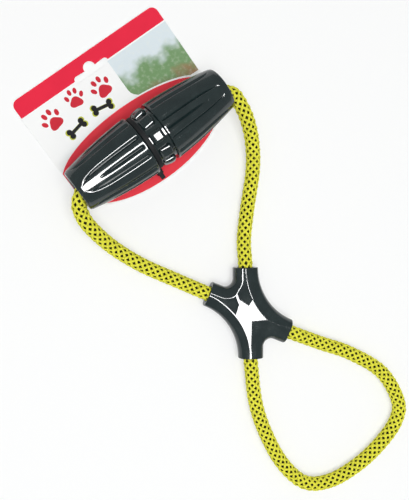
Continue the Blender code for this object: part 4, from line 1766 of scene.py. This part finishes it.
@dataclass
class HeaderCard:
    """The printed card: a red band with a hanger slot, a white field and a red oval behind the barrel."""

    sizes: ToySizes = SIZES
    width: float = 0.1432
    top_reach: float = 0.0873
    corner: float = 0.0062
    oval_overhang: float = 0.0012
    oval_drop: float = 0.0336
    side_drop: float = 0.0012
    slot_width: float = 0.0318
    slot_height: float = 0.005
    hole: float = 0.0094
    hole_rise: float = 0.0028
    slot_margin: float = 0.0151
    slot_shift: float = 0.0026
    band: float = 0.0150
    oval_place: Flat = (-0.002, 0.011)
    oval_size: Flat = (0.073, 0.0236)
    rim: float = 0.0012
    ink: float = 0.00003
    board_edge: float = 0.0001
    bare_edge: float = 0.0004
    side_inset_share: float = 0.25
    tiny: float = 1e-5
    edge_points: int = 73
    corner_steps: int = 12
    rise_steps: int = 20
    knob_steps: int = 16
    pad_points: int = 40
    toe_points: int = 28
    paw_spots: tuple[tuple[float, float, float, float], ...] = (
        (-0.052, 0.058, 0.019, 14), (-0.027, 0.062, 0.017, -12), (-0.004, 0.057, 0.019, 10))
    bone_spots: tuple[tuple[float, float, float, float], ...] = (
        (-0.040, 0.0415, 0.018, 12), (-0.013, 0.0435, 0.018, -10))
    bone_rim: float = 1.12
    panel_left: float = 0.0125
    panel_low: float = 0.0235
    panel_gap: float = 0.0012
    panel_round_share: float = 0.4
    panel_reach_share: float = 0.999

    def lower_edge(self, inset: float) -> list[Flat]:
        """Draws the oval lower edge from right to left.

        Args:
            inset: How far inside the card's own edge it runs.

        Returns:
            The points.
        """
        oval = self.width / 2 + self.oval_overhang - inset
        half = min(self.width / 2 - inset * self.side_inset_share, oval - self.tiny)
        meet = math.acos(half / oval)
        return [
            (oval * math.cos(angle), -self.side_drop - (self.oval_drop - inset) * math.sin(angle))
            for angle in np.linspace(meet, math.pi - meet, self.edge_points)
        ]

    def shoulders(self, inset: float = 0.0) -> list[Flat]:
        """Draws the card's two round top corners from left to right.

        Args:
            inset: How far inside the card's own edge they run.

        Returns:
            The points.
        """
        top, side = self.top_reach - self.corner, self.width / 2 - self.corner
        return [
            *arc((-side, top), self.corner - inset, math.pi, math.pi / 2, self.corner_steps),
            *arc((side, top), self.corner - inset, math.pi / 2, 0, self.corner_steps),
        ]

    def oval_edge(self, half: float, spare: float) -> list[Flat]:
        """Draws the red oval's upper edge from left to right.

        Args:
            half: How far it reaches to both sides.
            spare: How far outside the oval's own edge it runs.

        Returns:
            The points.
        """
        (x, y), (wide, tall) = self.oval_place, self.oval_size
        return [
            (place, y + spare + tall * math.sqrt(max(0.0, 1 - ((place - x) / (wide + spare)) ** 2)))
            for place in np.linspace(-half, half, self.edge_points)
        ]

    def hanger_slot(self, spare: float = 0.0) -> list[Flat]:
        """Draws the hanger slot: round ends, and a round rise in the middle.

        Args:
            spare: How far outside the slot's own edge it runs.

        Returns:
            The points.
        """
        end = self.slot_height / 2
        reach = self.slot_width / 2 - end
        dip = math.asin((self.hole_rise - end) / (self.hole / 2))
        points = [
            *arc((-reach, 0), end + spare, 3 * math.pi / 2, math.pi / 2, self.corner_steps),
            *arc((0, self.hole_rise), self.hole / 2 + spare, math.pi + dip, -dip, self.rise_steps),
            *arc((reach, 0), end + spare, math.pi / 2, -math.pi / 2, self.corner_steps),
        ]
        level = self.top_reach - self.slot_margin
        return [(x - self.slot_shift, y + level) for x, y in points]

    def tie_slot(self, side: int) -> list[Flat]:
        """Draws the slot for one leg of the tie.

        Args:
            side: Which side of the barrel it is on.

        Returns:
            The points.
        """
        sizes = self.sizes
        middle = side * (sizes.waist_radius + sizes.gap + sizes.tie_thickness / 2)
        long, wide = sizes.tie_width / 2 + sizes.gap, sizes.tie_thickness / 2 + sizes.gap
        corners = ((-1, -1), (-1, 1), (1, 1), (1, -1))
        return [(-sizes.tie_centre + x * long, middle + y * wide) for x, y in corners]

    def print_layer(self, name: str, outlines: Sequence[Outline], level: int,
                    finish: bpy.types.Material) -> bpy.types.Object:
        """Prints one flat layer of ink on the card.

        Args:
            name: The piece's name.
            outlines: Its closed outlines, the inner ones as holes.
            level: How many layers of ink lie under it.
            finish: Its material.

        Returns:
            The dressed piece.
        """
        piece = cut_sheet(name, outlines, self.ink)
        piece.data.transform(Matrix.Translation((0, 0, self.ink * (level + 0.5))))
        self.map_flat(piece)
        settle(piece, self.sizes.card_matrix)
        return finish_piece(piece, Body.CARD, [finish])

    @staticmethod
    def map_flat(piece: bpy.types.Object) -> None:
        """Gives a piece a UV map in metres from its own X and Y.

        Args:
            piece: The flat piece.
        """
        while piece.data.uv_layers:
            piece.data.uv_layers.remove(piece.data.uv_layers[0])
        layer = piece.data.uv_layers.new(name="card")
        points = read(piece.data.vertices, "co", 3)[:, :2].astype(np.float32)
        layer.data.foreach_set("uv", points[read(piece.data.loops, "vertex_index")].ravel())

    def paw(self, x: float, y: float, size: float, turn: float) -> list[list[Flat]]:
        """Draws a paw print: a broad pad under four toes.

        Args:
            x: Its place along the card.
            y: Its place up the card.
            size: Its height.
            turn: Its turn in degrees.

        Returns:
            Its outlines.
        """
        radius, lobes, oval, wide, tall, low = 0.27, 0.13, 0.04, 1.12, 0.95, -0.2
        toe_wide, toe_tall = 0.095, 0.145
        pad = []
        for angle in np.arange(self.pad_points) / self.pad_points * 2 * math.pi:
            swell = lobes * math.cos(3 * (angle - math.pi / 2)) + oval * math.cos(2 * angle)
            reach = radius * (1 + swell)
            pad.append((reach * wide * math.cos(angle), low + reach * tall * math.sin(angle)))
        shapes = [pad]
        ring = np.arange(self.toe_points) / self.toe_points * 2 * math.pi
        toe = [(toe_wide * math.cos(angle), toe_tall * math.sin(angle)) for angle in ring]
        for a, b, lean in ((-0.37, 0.08, 24), (-0.14, 0.32, 8), (0.14, 0.32, -8), (0.37, 0.08, -24)):
            shapes.append(placed(toe, a, b, 1.0, lean))
        return [placed(shape, x, y, size, turn) for shape in shapes]

    def bone(self, x: float, y: float, size: float, turn: float) -> list[Flat]:
        """Draws a plain bone: a bar with two round knobs at both ends.

        Args:
            x: Its place along the card.
            y: Its place up the card.
            size: Its length.
            turn: Its turn in degrees.

        Returns:
            Its outline.
        """
        bar, knob, reach, rise = 0.075, 0.13, 0.37, 0.11
        start = math.pi + math.asin((rise - bar) / knob)
        end = -math.acos(math.sqrt(knob**2 - rise**2) / knob)
        corner = arc((reach, rise), knob, start, end, self.knob_steps)
        outline = corner + [(a, -b) for a, b in corner[::-1]]
        outline += [(-a, -b) for a, b in outline]
        return placed(outline, x, y, size, turn)

    def build(self) -> list[bpy.types.Object]:
        """Cuts the card, prints it and dresses every layer.

        Returns:
            The card and its printed layers.
        """
        white = CardStock("white_card_stock", (0.985, 0.985, 0.98), shade=0.985)
        red = CardStock("red_card_ink", (0.86, 0.034, 0.072))
        ties = [self.tie_slot(-1), self.tie_slot(1)]
        cuts = [[*self.shoulders(), *self.lower_edge(0.0)], self.hanger_slot(), *ties]
        card = cut_sheet("header_card_board", cuts, self.sizes.card_thickness, self.board_edge, detail=1)
        card.data.transform(Matrix.Translation((0, 0, -self.sizes.card_thickness / 2)))
        settle(card, self.sizes.card_matrix)
        made = [finish_piece(card, Body.CARD, [white.make()], ["header_card"])]
        made.append(self.print_layer("red_band_print", [self.band_outline()], 0, red.make()))
        lower = self.lower_edge(self.rim)
        half = lower[0][0]
        white_rim = [*self.oval_edge(half, self.rim), (half, 0.0), (-half, 0.0)]
        made.append(self.print_layer("white_oval_rim_print", [white_rim, ties[1]], 1, white.make()))
        # painted light: the oval's red is a little paler than the band's red, to lift the shadow that the
        # barrel casts on it
        oval = CardStock("red_oval_ink_with_painted_light", (0.90, 0.062, 0.085)).make()
        field_edge = [*lower, *self.oval_edge(half, 0.0)]
        made.append(self.print_layer("red_oval_print", [field_edge, *ties], 2, oval))
        return made + self.motifs()

    def band_outline(self) -> list[Flat]:
        """Draws the red band over the card's top, its lower edge round the hanger slot.

        Returns:
            The points.
        """
        edge, low = self.bare_edge, self.top_reach - self.band
        half = self.width / 2 - edge
        over = [(x, y) for x, y in self.hanger_slot(edge) if y > low]
        right, left = max(x for x, _ in over), min(x for x, _ in over)
        return [
            (-half, low), *self.shoulders(edge), (half, low),
            (right + edge / 4, low), *over[::-1], (left - edge / 4, low),
        ]

    def panel_outline(self) -> list[Flat]:
        """Draws the meadow panel, its lower left corner swept round.

        Returns:
            The points.
        """
        left, right = self.panel_left, self.width / 2 - self.bare_edge
        low, high = self.panel_low, self.top_reach - self.band - self.panel_gap
        reach, rise = (right - left) * self.panel_reach_share, (high - low) * self.panel_round_share
        sweep = np.linspace(0, math.pi / 2, self.corner_steps + 1)
        swept = [(left + reach * (1 - math.sin(turn)), low + rise * (1 - math.cos(turn))) for turn in sweep]
        return [(left, high), (right, high), (right, low), *swept]

    def motifs(self) -> list[bpy.types.Object]:
        """Prints the card's generic motifs: paws, bones and a plain meadow panel.

        Returns:
            The printed pieces.
        """
        inks = (("red", (0.68, 0.04, 0.06)), ("black", (0.03, 0.03, 0.032)), ("lime", (0.62, 0.66, 0.08)))
        red, black, lime = (
            CardStock(f"{name}_motif_ink", ink, shade=0.9, varnish=0.36).make() for name, ink in inks)
        paws = [outline for spot in self.paw_spots for outline in self.paw(*spot)]
        rims = [self.bone(x, y, size * self.bone_rim, turn) for x, y, size, turn in self.bone_spots]
        bones = [self.bone(*spot) for spot in self.bone_spots]
        return [
            self.print_layer("red_paw_prints", paws, 0, red),
            self.print_layer("lime_bone_prints", rims, 0, lime),
            self.print_layer("black_bone_prints", bones, 1, black),
            self.print_layer("meadow_panel_print", [self.panel_outline()], 0, MeadowPrint().make()),
        ]


# Tie


@dataclass
class CardTie:
    """The nylon tie round the waist and through the card, with its head and cut tail."""

    sizes: ToySizes = SIZES
    head_length: float = 0.0052
    head_depth: float = 0.0048
    head_width: float = 0.0054
    head_lift: float = 0.0016
    tail: float = 0.0042
    tooth: float = 0.0007
    tooth_start: float = 0.0005
    tooth_spare: float = 0.0006
    tooth_share: float = 0.62
    tooth_rise: float = 0.0003
    tooth_edge: float = 0.0001
    strap_edge: float = 0.00025
    head_edge: float = 0.0008
    tail_edge: float = 0.0002
    round_steps: int = 72
    corner_steps: int = 6
    sharp: float = 45.0

    def loop(self) -> bpy.types.Object:
        """Bends the strap: half round over the waist, with straight legs down to a flat run.

        Returns:
            The strap in the barrel's own space.
        """
        inner = self.sizes.waist_radius + self.sizes.gap
        outer = inner + self.sizes.tie_thickness
        outlines = []
        for radius, bottom, corner in (
            (outer, -self.sizes.barrel_height, self.sizes.tie_thickness),
            (inner, self.sizes.tie_thickness - self.sizes.barrel_height, self.sizes.tie_thickness / 4),
        ):
            outlines.append([
                *arc((0, 0), radius, math.pi, 0, self.round_steps),
                *arc((radius - corner, bottom + corner), corner, 0, -math.pi / 2, self.corner_steps),
                *arc((corner - radius, bottom + corner), corner, -math.pi / 2, -math.pi, self.corner_steps),
            ])
        strap = cut_sheet("card_tie_nylon", outlines, self.sizes.tie_width, self.strap_edge, 2)
        strap.data.transform(Matrix.Rotation(math.pi / 2, 4, "Z") @ Matrix.Rotation(math.pi / 2, 4, "X"))
        strap.data.transform(Matrix.Translation((-self.sizes.tie_centre, 0, 0)))
        return strap

    @staticmethod
    def block(size: Point, place: Point, edge: float) -> bpy.types.Object:
        """Adds a block with soft edges.

        Args:
            size: Its size.
            place: Its middle.
            edge: The width of its bevelled edges.

        Returns:
            The new object.
        """
        made = add_block(size, place)
        with edit_mode(made):
            bpy.ops.mesh.bevel(offset=edge, segments=3, profile=0.5, affect="EDGES")
        return made

    def build(self) -> bpy.types.Object:
        """Builds the tie and dresses it.

        Returns:
            The dressed tie.
        """
        sizes = self.sizes
        centre, thick = -sizes.tie_centre, sizes.tie_thickness
        outer = sizes.waist_radius + sizes.gap + thick
        level = sizes.card_top + self.head_lift - sizes.barrel_height + self.head_length / 2
        deep = self.head_depth + thick / 2
        head = self.block((self.head_width, deep, self.head_length),
                          (centre, thick / 2 - outer - deep / 2, level), self.head_edge)
        reach = self.tail + self.head_depth
        tail = self.block((sizes.tie_width, reach, thick),
                          (centre, -outer - reach / 2, level), self.tail_edge)
        tooth = (sizes.tie_width * self.tooth_share, self.tooth * self.tooth_share, self.tooth_rise)
        first = -outer - self.head_depth - self.tooth_start
        teeth = [
            self.block(tooth, (centre, first - index * self.tooth, level + thick / 2), self.tooth_edge)
            for index in range(int((self.tail - self.tooth_spare) / self.tooth))
        ]
        piece = join([self.loop(), head, tail, *teeth], "card_tie_nylon")
        settle(piece, self.sizes.barrel_matrix)
        soften(piece, self.sharp)
        return finish_piece(piece, Body.CARD, [NylonTie().make()], ["card_tie"])


# Studio


@dataclass
class Studio:
    """The camera, the pale floor and the soft lights."""

    sizes: ToySizes = SIZES
    eye: Point = (-0.0812, -0.0239, 0.595)
    target: Point = (0.0408, -0.0539, 0.0)
    lens: float = 51.511
    sensor: float = 36.0
    clip: Flat = (0.01, 20.0)
    world: float = 0.42
    box_distance: float = 1.6
    box_power: float = 6.4
    gloss_power: float = 27.0
    floor_lift: float = 0.5
    box_from: Flat = (-0.435, -0.11)
    box_to: Flat = (0.232, 0.41)
    lamp_gap: float = 0.02
    floor_side: float = 8.0

    def set_camera(self) -> None:
        """Stands the camera where the picture was taken from."""
        eye, target = Vector(self.eye), Vector(self.target)
        ahead = (target - eye).normalized()
        right = ahead.cross(Vector((0, 1, 0))).normalized()
        up = right.cross(ahead)
        lens = bpy.data.cameras.new("studio_camera")
        lens.lens = self.lens
        lens.sensor_width = self.sensor
        lens.sensor_fit = "AUTO"
        lens.clip_start, lens.clip_end = self.clip
        camera = bpy.data.objects.new("studio_camera", lens)
        camera.matrix_world = Matrix((
            (right.x, up.x, -ahead.x, eye.x), (right.y, up.y, -ahead.y, eye.y),
            (right.z, up.z, -ahead.z, eye.z), (0, 0, 0, 1)))
        bpy.context.scene.collection.objects.link(camera)
        bpy.context.scene.camera = camera

    def lay_floor(self) -> None:
        """Lays the wide white floor."""
        clear_selection()
        bpy.ops.mesh.primitive_plane_add(size=self.floor_side, location=(0, 0, 0))
        floor = bpy.context.object
        floor.name = "studio_floor"
        bench = NodeBench("white_floor")
        bench.set(Base_Color=(0.955, 0.962, 0.958, 1), Roughness=0.9, Specular_IOR_Level=0.0)
        self.lift_white(bench)
        floor.data.materials.append(bench.material)

    def lift_white(self, bench: NodeBench) -> None:
        """Lifts the floor to the backdrop's white where the camera or gloss sees it, its shadows kept.

        Args:
            bench: The floor's material.
        """
        ray = bench.node("ShaderNodeLightPath")
        seen = bench.maths("ADD", ray.outputs["Is Camera Ray"], ray.outputs["Is Glossy Ray"])
        glow = bench.node("ShaderNodeEmission")
        glow.inputs["Strength"].default_value = 1.0
        mixed = bench.node("ShaderNodeMixShader")
        bench.plug(bench.maths("MULTIPLY", seen, self.floor_lift), mixed.inputs[0])
        bench.plug(bench.shader.outputs[0], mixed.inputs[1])
        bench.plug(glow.outputs[0], mixed.inputs[2])
        bench.plug(mixed.outputs[0], bench.tree.nodes["Material Output"].inputs["Surface"])

    def light_box(self, name: str, radiance: float, gloss_only: bool) -> None:
        """Hangs one large soft light over the toy.

        Args:
            name: The light's name.
            radiance: How bright its face is, 1 being white.
            gloss_only: Whether it shows only in gloss.
        """
        low, high = self.box_from, self.box_to
        along, across = (low[0] + high[0]) / 2, (low[1] + high[1]) / 2
        wide, deep = (high[0] - low[0]) * self.box_distance, (high[1] - low[1]) * self.box_distance
        data = bpy.data.lights.new(name, "AREA")
        data.shape = "RECTANGLE"
        data.size, data.size_y = wide, deep
        data.energy = radiance * math.pi * wide * deep
        lamp = bpy.data.objects.new(name, data)
        height = self.box_distance - (self.lamp_gap if gloss_only else 0.0)
        place = Matrix.Translation((along * self.box_distance, -across * self.box_distance, height))
        lamp.matrix_world = self.sizes.barrel_matrix @ place
        lamp.visible_camera = False
        lamp.visible_diffuse = not gloss_only
        bpy.context.scene.collection.objects.link(lamp)

    def set_lights(self) -> None:
        """Hangs the soft box and evens the light from all round."""
        self.light_box("soft_box", self.box_power, False)
        self.light_box("soft_box_gloss", self.gloss_power, True)
        world = bpy.data.worlds.new("studio_light")
        bpy.context.scene.world = world
        world.use_nodes = True
        backing = world.node_tree.nodes["Background"]
        backing.inputs["Color"].default_value = (0.98, 1.0, 1.0, 1)
        backing.inputs["Strength"].default_value = self.world
        bpy.context.scene.view_settings.view_transform = "Standard"

    def build(self) -> None:
        """Sets up the whole studio."""
        self.set_camera()
        self.lay_floor()
        self.set_lights()
        LOG.info("studio is set")


def main() -> None:
    """Builds the studio and the toy's pieces in order."""
    Studio().build()
    TugRope().build()
    ChewBarrel().build()
    CrossingPiece().build()
    HeaderCard().build()
    CardTie().build()


if __name__ == "__main__":
    main()
